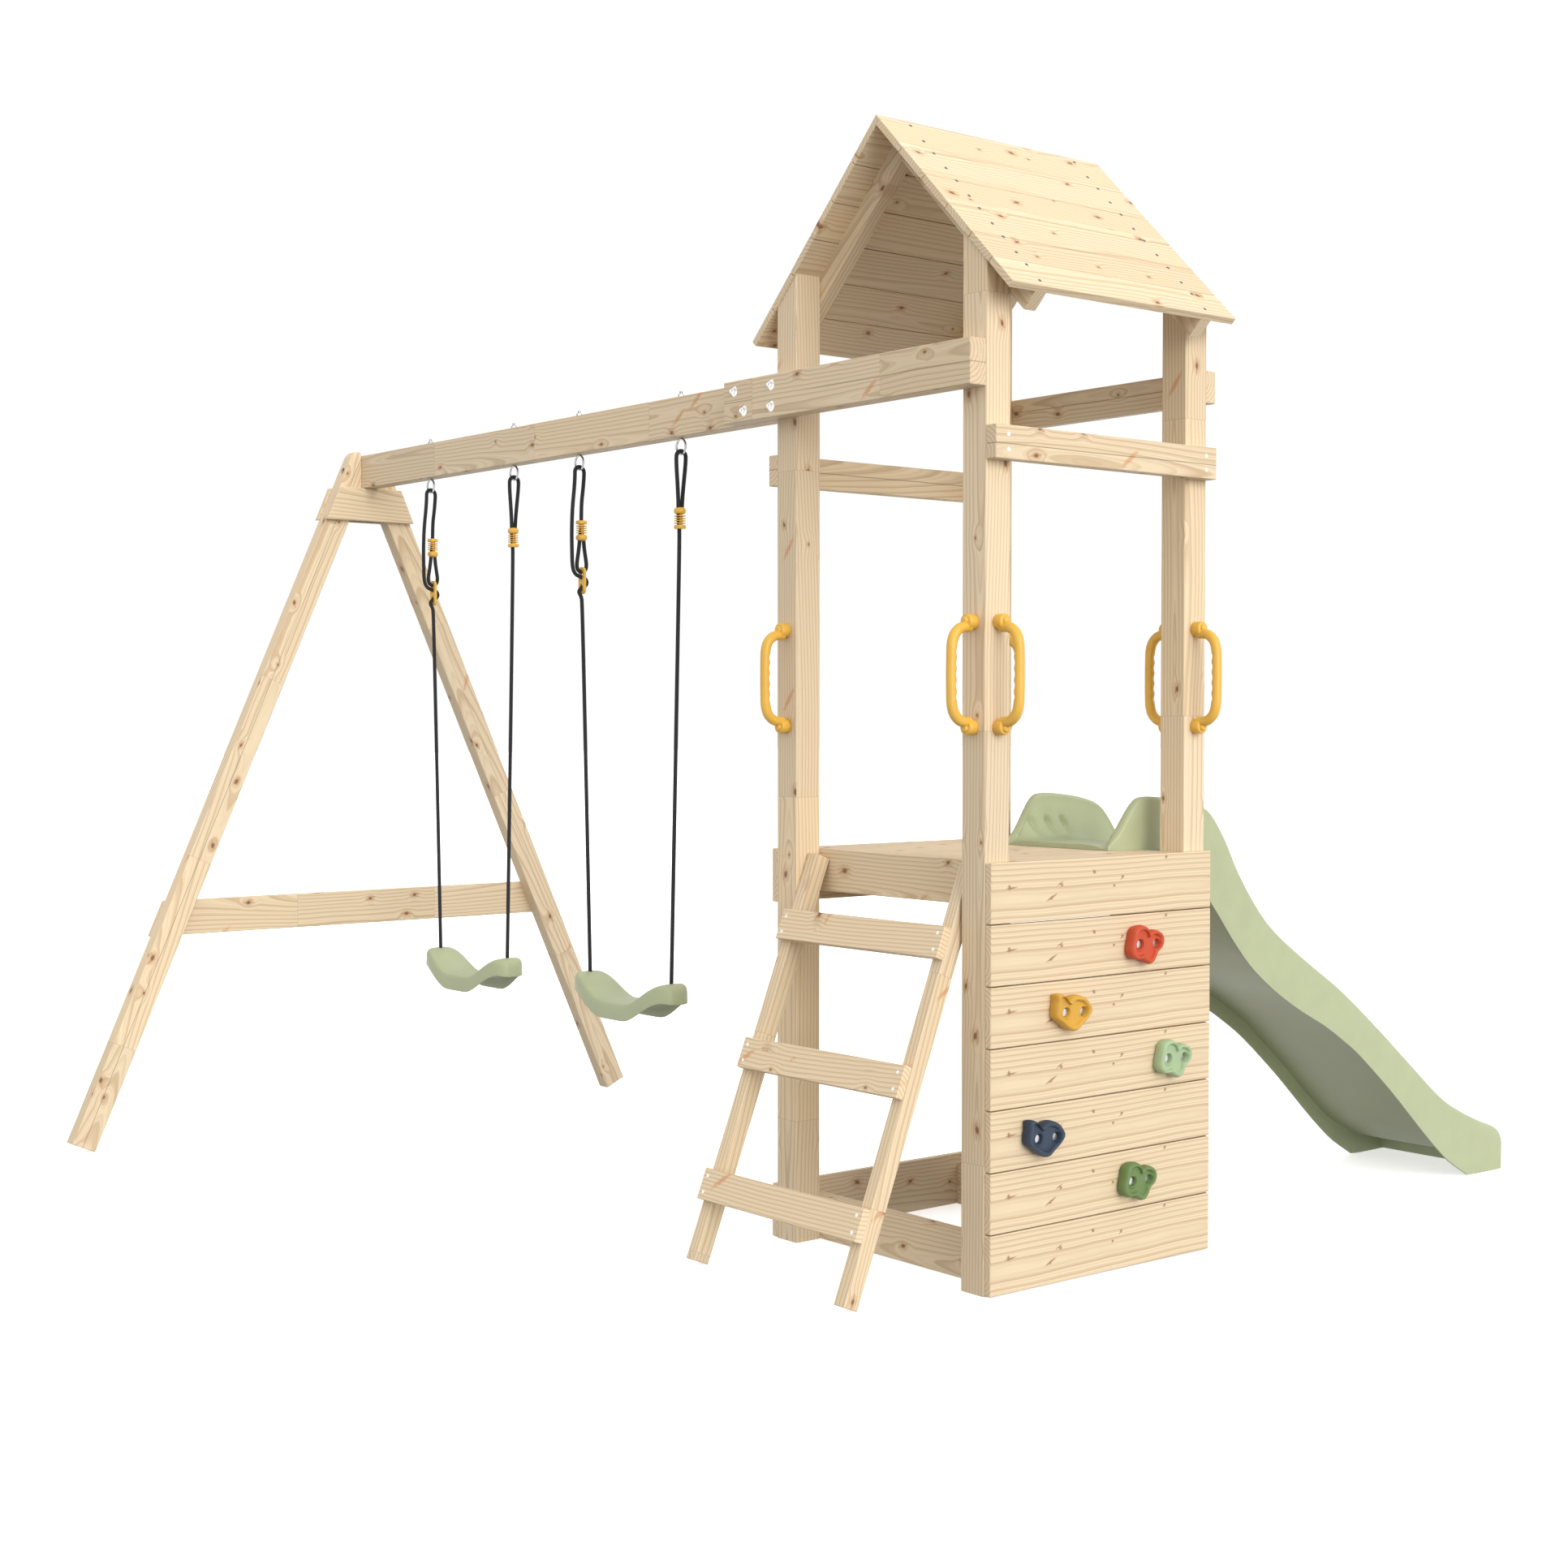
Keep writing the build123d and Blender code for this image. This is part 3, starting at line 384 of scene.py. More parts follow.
def pine(name, grain="Z", centre=(0, 0, 0), half=(1.0, 1.0), seed=1.0, length=50.0, crack=0.0, crack_at=0.0,
         flames=1.0, knots=1.0, turn=(0, 0, 0), fold=None, strip=None, flat=None, marks=()):
    """Softwood along one axis of the piece. centre is subtracted and turn applied first; half is half of
    the timber's two other sizes, and picks the face's own coordinate; fold mirrors X about the ridge;
    strip = (coordinate, start, pitch, change) gives each board of a row its own number; marks are knots
    listed one by one: along the grain, across it, length, width and slope."""
    mat, b, shader = finish("pine_" + name, specular=0.35)
    where = b.add("TexCoord").outputs["Object"]
    if fold is not None:
        x, y, z = b.split(where)
        where = b.join(b.math("ABSOLUTE", b.math("SUBTRACT", x, fold)), y, z)
    where = b.vmath("SUBTRACT", where, centre)
    if any(turn):
        node = b.add("VectorRotate", rotation_type="EULER_XYZ")
        b.feed(node.inputs["Vector"], where)
        node.inputs["Rotation"].default_value = turn
        where = node.outputs[0]
    parts = b.split(where)
    i, j, k = AXES[grain]
    u, v, w = parts[i], parts[j], parts[k]
    number = seed
    if strip is not None:
        which, start, pitch, shuffle = strip
        index = b.math("FLOOR", b.math("DIVIDE", b.math("SUBTRACT", parts[which], start), pitch))
        number = b.math("MULTIPLY_ADD", index, shuffle, seed)
        inside = b.math("SUBTRACT", parts[which], b.math("MULTIPLY_ADD", index, pitch, start + pitch / 2))
        if which == j:
            v = inside
        elif which == k:
            w = inside
    if flat == "v":
        other = v
    elif flat == "w":
        other = w
    else:
        on_side = b.math("GREATER_THAN", b.math("DIVIDE", b.math("ABSOLUTE", v), half[0]),
                         b.math("DIVIDE", b.math("ABSOLUTE", w), half[1]))
        other = b.math("ADD", b.math("MULTIPLY", on_side, b.math("ADD", w, 0.7)),
                       b.math("MULTIPLY", b.math("SUBTRACT", 1.0, on_side), v))
    group = b.add("Group")
    group.node_tree = bpy.data.node_groups["softwood"]
    b.feed(group.inputs["Grain"], b.join(u, v, w))
    b.feed(group.inputs["Face"], b.join(u, other, 0.0))
    b.feed(group.inputs["Seed"], number)
    for key, value in (("Length", length), ("Crack", crack), ("Crack At", crack_at), ("Flames", flames),
                       ("Knots", knots)):
        group.inputs[key].default_value = value
    if marks:
        rag = b.noise(b.vmath("MULTIPLY", b.join(u, other, 0.0), (170.0, 260.0, 1.0)), detail=2.0)
        total = None
        for at, across, long, wide, slope in marks:
            du, dv = b.math("SUBTRACT", u, at), b.math("SUBTRACT", other, across)
            lie = b.math("DIVIDE", b.math("ADD", du, b.math("MULTIPLY", dv, slope)), long * MARK_SIZE)
            cross = b.math("DIVIDE", b.math("SUBTRACT", dv, b.math("MULTIPLY", du, slope)), wide * MARK_SIZE)
            reach = b.math("MULTIPLY_ADD", rag, 0.9, b.vmath("LENGTH", b.join(lie, cross, 0.0)))
            spot = b.ease(reach, 1.55, 0.75)
            total = spot if total is None else b.math("MAXIMUM", total, spot)
        b.feed(group.inputs["Marks"], total)
    b.feed(shader.inputs["Base Color"], group.outputs["Color"])
    b.feed(shader.inputs["Roughness"], group.outputs["Rough"])
    rough_up(b, shader, group.outputs["Height"], 0.30, 0.0006)
    return mat


def moulded(name, color, rough=0.42, grain=900.0, mottle=0.06):
    """Moulded plastic: a fine skin texture, faint clouding of the colour and uneven gloss."""
    mat, b, shader = finish(name, specular=0.45)
    where = b.add("TexCoord").outputs["Object"]
    cloud = b.noise(where, scale=14.0, detail=3.0)
    fine = b.noise(where, scale=grain, detail=2.0)
    dark = tuple(c * (1 - mottle) for c in color[:3]) + (1.0,)
    light = tuple(min(c * (1 + mottle), 1.0) for c in color[:3]) + (1.0,)
    tint = b.blend(b.ease(cloud, 0.3, 0.7), dark, light)
    tint = b.blend(b.ease(fine, 0.62, 0.8, 0.0, 0.10), tint, (0.9, 0.9, 0.88, 1))
    b.feed(shader.inputs["Base Color"], tint)
    b.feed(shader.inputs["Roughness"], b.math("MULTIPLY_ADD", cloud, 0.14, rough - 0.07))
    rough_up(b, shader, b.math("ADD", fine, b.math("MULTIPLY", cloud, 1.5)), 0.22, 0.0005)
    return mat


def zinc(name, tone=0.85, rough=0.16):
    """Zinc plate: pale steel with soft crystal clouding and fine turning marks; tone is its brightness."""
    mat, b, shader = finish(name, metallic=1.0)
    where = b.add("TexCoord").outputs["Object"]
    cloud = b.noise(where, scale=220.0, detail=3.0)
    fine = b.noise(b.vmath("MULTIPLY", where, (900.0, 900.0, 2600.0)), detail=1.0)
    dark = (tone * 0.92, tone * 0.92, tone * 0.94, 1)
    light = (tone * 1.08, tone * 1.08, tone * 1.09, 1)
    b.feed(shader.inputs["Base Color"], b.blend(b.ease(cloud, 0.3, 0.7), dark, light))
    b.feed(shader.inputs["Roughness"], b.math("MULTIPLY_ADD", cloud, 0.22, rough))
    rough_up(b, shader, b.math("ADD", fine, cloud), 0.15, 0.0003)
    return mat


def braid(name, color, strands=6.0):
    """Braided cord on the tube's own map: two sets of slanting strands, each over the other in turn,
    with fine yarn lines and a little fluff; the grooves between the strands are darkened as painted shade."""
    mat, b, shader = finish(name, specular=0.3)
    u, v = b.split(b.add("UVMap", uv_map="along").outputs[0])[:2]
    one = b.math("MULTIPLY", b.math("ADD", u, v), strands)
    two = b.math("MULTIPLY", b.math("SUBTRACT", u, v), strands)
    hump1 = b.math("ABSOLUTE", b.math("SINE", b.math("MULTIPLY", one, math.pi)))
    hump2 = b.math("ABSOLUTE", b.math("SINE", b.math("MULTIPLY", two, math.pi)))
    check = b.math("GREATER_THAN", b.math("MULTIPLY", b.math("COSINE", b.math("MULTIPLY", one, math.pi)),
                                          b.math("COSINE", b.math("MULTIPLY", two, math.pi))), 0.0)
    high = b.math("ADD", b.math("MULTIPLY", check, hump1),
                  b.math("MULTIPLY", b.math("SUBTRACT", 1.0, check), hump2))
    yarn = b.math("SINE", b.math("MULTIPLY", one, 44.0))
    fluff = b.noise(b.add("TexCoord").outputs["Object"], scale=1500.0, detail=2.0)
    # painted shade: the grooves between the strands are darkened to a third of the rope's colour
    low = tuple(c * 0.35 for c in color[:3]) + (1.0,)
    tint = b.blend(b.ease(high, 0.1, 0.9), low, tuple(color))
    tint = b.blend(b.ease(fluff, 0.55, 0.85, 0.0, 0.35), tint, (0.16, 0.16, 0.17, 1))
    b.feed(shader.inputs["Base Color"], tint)
    b.feed(shader.inputs["Roughness"], b.math("MULTIPLY_ADD", fluff, 0.2, 0.62))
    rough_up(b, shader, b.math("ADD", high, b.math("MULTIPLY", yarn, 0.08)), 0.8, 0.0012)
    return mat


def clothe(name, mat):
    """Gives a CAD node this material in every slot."""
    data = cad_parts[name].data
    data.materials.clear()
    data.materials.append(mat)


def put(obj, mat):
    """Gives a new piece its material."""
    obj.data.materials.clear()
    obj.data.materials.append(mat)
    return obj


def middle(name):
    """A CAD node's centre and half sizes."""
    low, high = (np.array(v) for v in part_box(name))
    return (low + high) / 2, (high - low) / 2


# ---------------------------------------------------------------- settings


def tint(label, words, value):
    return bpy.props.FloatVectorProperty(name=label, description=words, subtype="COLOR", size=4, min=0,
                                         max=1, default=value)


class TimberLook(bpy.types.PropertyGroup):
    """Colours and figure of the softwood."""

    pale: tint("Early wood", "Colour between the growth rings", (0.800, 0.655, 0.455, 1))
    late: tint("Late wood", "Colour of the growth rings", (0.465, 0.310, 0.165, 1))
    pink: tint("Warm patches", "Colour of the warmer patches", (0.745, 0.590, 0.395, 1))
    ring: bpy.props.FloatProperty(name="Ring spacing", description="Distance between growth rings",
                                  default=0.0088, min=0.001, subtype="DISTANCE", unit="LENGTH")
    clear: bpy.props.FloatProperty(name="Clear share",
                                   description="Share of the pattern's cells without a knot", default=0.56,
                                   min=0, max=1, subtype="FACTOR")


class PlasticLook(bpy.types.PropertyGroup):
    """Colours of the moulded pieces."""

    sage: tint("Sage", "Slide and seats", (0.392, 0.432, 0.256, 1))
    yellow: tint("Yellow", "Grips, ferrules and adjusters", (0.740, 0.425, 0.055, 1))
    red: tint("Red stone", "Climbing stone", (0.520, 0.062, 0.016, 1))
    gold: tint("Yellow stone", "Climbing stone", (0.590, 0.320, 0.035, 1))
    mint: tint("Mint stone", "Climbing stone", (0.335, 0.445, 0.255, 1))
    navy: tint("Navy stone", "Climbing stone", (0.016, 0.031, 0.058, 1))
    green: tint("Green stone", "Climbing stone", (0.125, 0.200, 0.062, 1))


class CordLook(bpy.types.PropertyGroup):
    """The swings' ropes and seats."""

    black: tint("Rope", "Colour of the braid", (0.022, 0.022, 0.025, 1))
    thick: bpy.props.FloatProperty(name="Rope diameter", description="Diameter of the rope", default=0.010,
                                   min=0.004, subtype="DISTANCE", unit="LENGTH")
    seat_length: bpy.props.FloatProperty(name="Seat length", description="Length of a seat along the beam",
                                         default=0.424, min=0.2, subtype="DISTANCE", unit="LENGTH")
    seat_width: bpy.props.FloatProperty(name="Seat width", description="Front to back size of a seat",
                                        default=0.118, min=0.08, subtype="DISTANCE", unit="LENGTH")
    dip: bpy.props.FloatProperty(name="Seat dip", description="How far a seat's middle lies below its ends",
                                 default=0.057, min=0, subtype="DISTANCE", unit="LENGTH")


class StageLook(bpy.types.PropertyGroup):
    """Floor, light and camera."""

    sky: bpy.props.FloatProperty(name="Sky", description="Strength of the even white light", default=1.02,
                                 min=0)
    below: bpy.props.FloatProperty(name="Below", description="Strength of the light from below",
                                   default=0.20, min=0)
    key: bpy.props.FloatProperty(name="Key", description="Strength of the soft light from the right",
                                 default=2.15, min=0)
    lens: bpy.props.FloatProperty(name="Lens", description="Focal length on a 36 mm sensor", default=51.29,
                                  min=10)


# ---------------------------------------------------------------- pieces


class TOWER_OT_timbers(bpy.types.Operator):
    """Gives every timber and board its softwood."""

    bl_idname = "tower.timbers"
    bl_label = "Timbers"

    def execute(self, context):
        grain_group(context.scene.timber_look)
        # name, grain axis, seed, glued length, crack strength, crack place from the middle
        for name, axis, seed, length, crack, at in (
            ("post_front_left", "Z", 3.0, 0.74, 0.0, 0.0),
            ("post_front_right", "Z", 5.2, 0.90, 0.0, 0.0),
            ("post_back_right", "Z", 7.7, 0.66, 0.0, 0.0),
            ("post_back_left", "Z", 9.1, 0.80, 0.0, 0.0),
            ("ground_beam_front", "X", 11.3, 50.0, 0.0, 0.0),
            ("ground_beam_back", "X", 12.4, 50.0, 0.0, 0.0),
            ("deck_beam_front", "X", 13.9, 50.0, 0.0, 0.0),
            ("deck_beam_back", "X", 14.6, 50.0, 0.0, 0.0),
            ("side_board_deck", "Y", 15.5, 50.0, 0.0, 0.0),
            ("side_board_ground", "Y", 16.8, 50.0, 0.0, 0.0),
            ("rail_right", "Y", 17.2, 50.0, 0.9, -0.004),
            ("rail_left", "Y", 18.6, 50.0, 0.9, 0.002),
            ("rail_back", "X", 19.3, 50.0, 0.8, 0.004),
            ("swing_beam", "X", 21.7, 0.52, 0.0, 0.0),
            ("beam_splice", "X", 23.5, 0.44, 0.8, -0.001),
            ("gusset_inner", "Y", 25.1, 50.0, 0.0, 0.0),
            ("gusset_outer", "Y", 26.9, 50.0, 0.0, 0.0),
            ("crossbar", "Y", 28.3, 0.46, 0.0, 0.0),
            ("ladder_rungs", "X", 30.7, 50.0, 0.0, 0.0),
            ("deck_ledgers", "X", 32.9, 50.0, 0.0, 0.0),
        ):
            centre, size = middle(name)
            i, j, k = AXES[axis]
            clothe(name, pine(name, axis, tuple(centre), (size[j], size[k]), seed, length, crack, at))
        spots = ((0.053, 0.012, 0.0045, 0.0045, 0.2), (0.060, 0.011, 0.013, 0.0014, 0.1),
                 (0.208, 0.011, 0.0035, 0.0035, 0.3), (0.203, 0.014, 0.010, 0.0013, 0.5),
                 (0.178, -0.014, 0.015, 0.0022, 0.45), (0.176, -0.016, 0.005, 0.003, 0.4),
                 (0.307, 0.034, 0.0050, 0.0034, -0.5), (0.396, 0.020, 0.0036, 0.0030, 0.2),
                 (0.392, 0.016, 0.006, 0.0012, 0.9), (0.369, 0.002, 0.0030, 0.0026, 0.0),
                 (0.536, 0.057, 0.0040, 0.0030, 0.3))
        clothe("wall_boards",
               pine("wall_boards", "Y", (RIGHT + 0.009, FRONT, 0), seed=41.3, strip=(2, 0.0, 0.9 / 7, 0.0),
                    flat="v", flames=0.0, knots=0.0, marks=spots))
        clothe("deck_boards",
               pine("deck_boards", "Y", (0, 0, 0.890), seed=43.3, strip=(0, LEFT, 0.1374, 1.9), flat="w",
                    flames=0.0))
        # the roof's two slopes are turned level: Y stays the grain, the slope becomes X
        for name, side, seed in (("roof_boards_right", 1, 45.7), ("roof_boards_left", -1, 47.9)):
            clothe(name, pine(name, "Y", (RIDGE_X, 0, RIDGE_Z), seed=seed,
                              turn=(0, -side * math.radians(45), 0),
                              strip=(0, 0.0 if side > 0 else -0.709, 0.1013, 0.6), flat="w", flames=0.0))
        for name, seed in (("rafters_front", 49.1), ("rafters_back", 50.3)):
            clothe(name, pine(name, "X", (0, FRONT, RIDGE_Z), (1, 1), seed, turn=(0, -math.radians(45), 0),
                              fold=RIDGE_X, flat="v"))
        for name, side, seed, crack in (("leg_front", -1, 52.3, 0.9), ("leg_back", 1, 54.1, 0.5)):
            clothe(name, pine(name, "Z2", (RIGHT - 2.674, SWING_Y + side * 0.46, 0.975), (0.035, 0.0225),
                              seed, 0.56, crack, -0.003, turn=(side * -LEAN, 0, 0)))
        for name, seed in (("ladder_rail_left", 56.5), ("ladder_rail_right", 58.2)):
            centre, size = middle(name)
            clothe(name, pine(name, "Z", tuple(centre), (0.0165, 0.020), seed, 0.50,
                              turn=(LADDER_LEAN, 0, 0)))
        return {"FINISHED"}


class TOWER_OT_fittings(bpy.types.Operator):
    """Gives the bolts, eyes and screws their zinc."""

    bl_idname = "tower.fittings"
    bl_label = "Fittings"

    def execute(self, context):
        clothe("splice_bolts", zinc("zinc_plate", 0.90, 0.20))
        steel = zinc("zinc_steel", 0.50, 0.14)
        for name in ("apex_bolt", "stone_bolts"):
            clothe(name, steel)
        clothe("eye_bolts", zinc("zinc_wire", 0.38, 0.10))
        # the roof's screw heads are near black, painted shade for the shadow round each head; the others
        # bright: the height decides
        mat, b, shader = finish("screw_heads", metallic=0.8)
        where = b.add("TexCoord").outputs["Object"]
        cloud = b.noise(where, scale=900.0, detail=2.0)
        high = b.ease(b.split(where)[2], 1.84, 1.90)
        # painted shade: the near black colour given to the roof's screw heads
        roof_head_shade = b.blend(cloud, (0.10, 0.10, 0.12, 1), (0.22, 0.22, 0.25, 1))
        b.feed(shader.inputs["Base Color"], b.blend(high, (0.92, 0.92, 0.93, 1), roof_head_shade))
        b.feed(shader.inputs["Roughness"], b.math("MULTIPLY_ADD", cloud, 0.3, 0.25))
        rough_up(b, shader, cloud, 0.2, 0.0003)
        clothe("screws", mat)
        return {"FINISHED"}


def curve_of(points):
    """Heights at evenly spaced lengths, from a smooth line through given (length, height) pairs."""
    line = smooth_line(points, 400)
    return lambda y: np.interp(y, line[:, 0], line[:, 1])


class TOWER_OT_slide(bpy.types.Operator):
    """Builds the slide as one closed shell: at each length along it a ring is drawn from the rim, the
    lower edge and the bed, whose heights are smooth curves of the length."""

    bl_idname = "tower.slide"
    bl_label = "Slide"

    def execute(self, context):
        # rim, lower edge of the sides, and underside of the bed, each as length from the front and height
        rim = curve_of([(0.515, 0.906), (0.549, 0.940), (0.598, 1.004), (0.632, 1.019), (0.717, 1.014),
                        (0.791, 1.002), (0.842, 0.982), (0.891, 0.925), (0.946, 0.835), (1.018, 0.743),
                        (1.085, 0.682), (1.196, 0.608), (1.330, 0.525), (1.472, 0.421), (1.591, 0.328),
                        (1.720, 0.228), (1.800, 0.181), (1.890, 0.142), (1.958, 0.118), (1.982, 0.104),
                        (1.992, 0.085)])
        hem = curve_of([(0.515, 0.8990), (0.650, 0.8988), (0.700, 0.893), (0.760, 0.853), (0.815, 0.802),
                        (0.871, 0.739), (0.930, 0.668), (0.993, 0.604), (1.071, 0.546), (1.139, 0.505),
                        (1.192, 0.477), (1.261, 0.443), (1.332, 0.401), (1.400, 0.355), (1.524, 0.254),
                        (1.644, 0.146), (1.703, 0.095), (1.761, 0.050), (1.830, 0.010), (1.856, 0.001),
                        (1.992, 0.0008)])
        under = curve_of([(0.515, 0.8995), (0.650, 0.8993), (0.700, 0.8965), (0.760, 0.873), (0.815, 0.832),
                          (0.871, 0.781), (0.930, 0.712), (0.993, 0.648), (1.071, 0.590), (1.139, 0.549),
                          (1.192, 0.521), (1.261, 0.487), (1.332, 0.445), (1.400, 0.400), (1.524, 0.299),
                          (1.644, 0.194), (1.703, 0.145), (1.761, 0.104), (1.850, 0.060), (1.925, 0.042),
                          (1.992, 0.036)])
        y = np.concatenate([np.linspace(0.515, 0.80, 60, endpoint=False),
                            np.linspace(0.80, 1.93, 130, endpoint=False), np.linspace(1.93, 1.992, 16)])
        half = np.interp(y, [0.515, 0.60, 0.80, 1.20, 1.75, 1.99], [0.166, 0.174, 0.182, 0.184, 0.186, 0.188])
        top, low, bed = rim(y), hem(y), under(y)
        tall = top - bed
        # one side of the section, from the lower edge up the outside, over the rounded lip (two arcs of
        # radius r) and down the inner face to the bed: distance from the middle, height, and 1 on the
        # inner face, where the finger grooves are pressed
        r = np.minimum(0.012, tall * 0.35)
        side = [(half, low + (top - r - low) * share, 0) for share in (0, 0.33, 0.66)] + [(half, top - r, 0)]
        for a in (20, 45, 70):
            c, s = math.cos(math.radians(a)), math.sin(math.radians(a))
            side.append((half - r * (1 - c), top - r * (1 - s), 0))
        for a in (100, 130, 160):
            c, s = math.cos(math.radians(a)), math.sin(math.radians(a))
            side.append((half - r * (1 - c) * 1.05, top - r * (1 - s), 0))
        wall = np.minimum(0.022, half * 0.2)
        floor = bed + 0.011
        for share in np.linspace(0.04, 0.94, 18):
            drop = (top - r * 1.2 - floor) * share
            side.append((half - wall - 0.020 * share - 0.022 * share**6, top - r * 1.2 - drop, 1))
        side += [(half - wall - 0.060, floor + 0.001, 0), (half - wall - 0.100, floor, 0),
                 (half * 0.25, floor, 0)]
        xs = np.stack([s[0] for s in side], axis=1)
        zs = np.stack([np.broadcast_to(s[1], y.shape) for s in side], axis=1)
        inner = np.array([s[2] for s in side], float)
        # three slanting finger grooves in the inner face of each wing: a bell curve across each groove, cut
        # off along it, with the groove's middle line bent as the square of the place along it
        press = np.zeros_like(xs)
        for n in range(3):
            cy, cz = 0.592 + 0.054 * n, 0.943
            along = (y[:, None] - cy) * 0.50 - (zs - cz) * 0.86
            across = (y[:, None] - cy) * 0.86 + (zs - cz) * 0.50 + 7.0 * along**2
            press += 0.0115 * np.exp(-((across / 0.0085) ** 2) - np.abs(along / 0.024) ** 4)
        xs = xs + press * inner[None, :]
        depth = np.minimum(0.005, half * 0.05)
        # the bed turns down to the ground at the exit
        foot = np.maximum(bed, low + 0.0002)
        foot = np.where(y > 1.972, low + 0.0002 + (foot - low) * np.clip((1.980 - y) / 0.008, 0, 1), foot)
        inside = [(half - depth, low), (half - depth, foot), (half - 0.030, foot), (half * 0.4, foot)]
        ix = np.stack([p[0] for p in inside], axis=1)
        iz = np.stack([np.broadcast_to(p[1], y.shape) for p in inside], axis=1)
        # the whole ring: right side outwards to the bed, mirrored, then back under
        ring_x = np.concatenate([xs, -xs[:, ::-1], -ix, ix[:, ::-1]], axis=1)
        ring_z = np.concatenate([zs, zs[:, ::-1], iz, iz[:, ::-1]], axis=1)
        rows, cols = ring_x.shape
        # the slide drifts a little to the right towards its exit
        drift = SLIDE_X + 0.026 * np.clip((y - 0.75) / 1.2, 0, 1)
        length = np.broadcast_to((FRONT + y)[:, None], ring_x.shape)
        points = np.stack([drift[:, None] + ring_x, length, ring_z], axis=-1)
        faces = [f[::-1] for f in quads(rows, cols, True).tolist()]
        # each end is closed by one face round the whole ring
        last = (rows - 1) * cols
        faces += [list(range(cols)), list(range(last, last + cols))[::-1]]
        obj = make("slide_shell", points, faces)
        put(obj, moulded("sage_slide", tuple(context.scene.plastic_look.sage), rough=0.46, grain=420.0,
                         mottle=0.035))
        edge = obj.modifiers.new("ends", "EDGE_SPLIT")
        edge.split_angle = math.radians(40)
        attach(obj, "frame")
        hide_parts("slide")
        return {"FINISHED"}


class TOWER_OT_grips(bpy.types.Operator):
    """Builds the six hand grips: a bar between two round feet. The bar's radius falls on its inner side
    with a cosine of the height, which makes the finger waves."""

    bl_idname = "tower.grips"
    bl_label = "Hand grips"

    def execute(self, context):
        yellow = moulded("yellow_grips", tuple(context.scene.plastic_look.yellow), rough=0.36, grain=700.0,
                         mottle=0.03)
        places = {
            "grips_front": [((LEFT + 0.035, FRONT), -90), ((RIGHT - 0.035, FRONT), -90)],
            "grips_wall": [((RIGHT, FRONT + 0.035), 0), ((RIGHT, BACK - 0.035), 0)],
            "grips_slide": [((RIGHT - 0.070, BACK - 0.035), 180), ((LEFT + 0.070, BACK - 0.035), 0)],
        }
        for node, spots in places.items():
            parts = []
            for (gx, gy), turn in spots:
                a = math.radians(turn)
                out = np.array([math.cos(a), math.sin(a), 0])
                flat = np.array([-math.sin(a), math.cos(a), 0])
                up = np.array([0, 0, 1.0])
                home = np.array([gx, gy, GRIP_Z])
                path = smooth_line([(0.012, -0.098), (0.024, -0.098), (0.040, -0.094), (0.054, -0.082),
                                    (0.061, -0.064), (0.0625, -0.040), (0.063, 0.0), (0.0625, 0.040),
                                    (0.061, 0.064), (0.054, 0.082), (0.040, 0.094), (0.024, 0.098),
                                    (0.012, 0.098)], 140)
                line = home + path[:, :1] * out + path[:, 1:] * up
                angle = np.linspace(0, 2 * np.pi, 20, endpoint=False)
                # the bar's inner side waves in and out four times for the fingers
                wave = 0.5 + 0.5 * np.cos(2 * np.pi * path[:, 1] / 0.0235)
                wave = wave * np.clip((0.060 - np.abs(path[:, 1])) / 0.010, 0, 1)
                inward = np.clip(np.sin(angle), 0, 1)
                radius = 0.0112 - 0.0026 * wave[:, None] * inward[None, :] ** 0.7
                parts.append(tube(line, radius, flat, 20))
                for side in (-1, 1):
                    foot = [(0.0001, 0.0), (0.0150, 0.0), (0.0162, 0.0015), (0.0164, 0.012),
                            (0.0164, 0.0195), (0.0156, 0.0228), (0.0135, 0.0240), (0.0001, 0.0242)]
                    parts.append(lathe(foot, home + up * side * 0.1085, out, up))
                    cap = [(0.0001, 0.022), (0.0086, 0.022), (0.0088, 0.0258), (0.0076, 0.0286),
                           (0.0048, 0.0300), (0.0001, 0.0304)]
                    parts.append(lathe(cap, home + up * side * 0.1105, out, up, 20))
            points, faces = gather(parts)
            obj = make(node + "_moulding", points, faces)
            put(obj, yellow)
            edge = obj.modifiers.new("creases", "EDGE_SPLIT")
            edge.split_angle = math.radians(50)
            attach(obj, "frame")
            if node == "grips_front":
                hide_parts(node, "grip_caps")
            else:
                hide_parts(node)
        return {"FINISHED"}


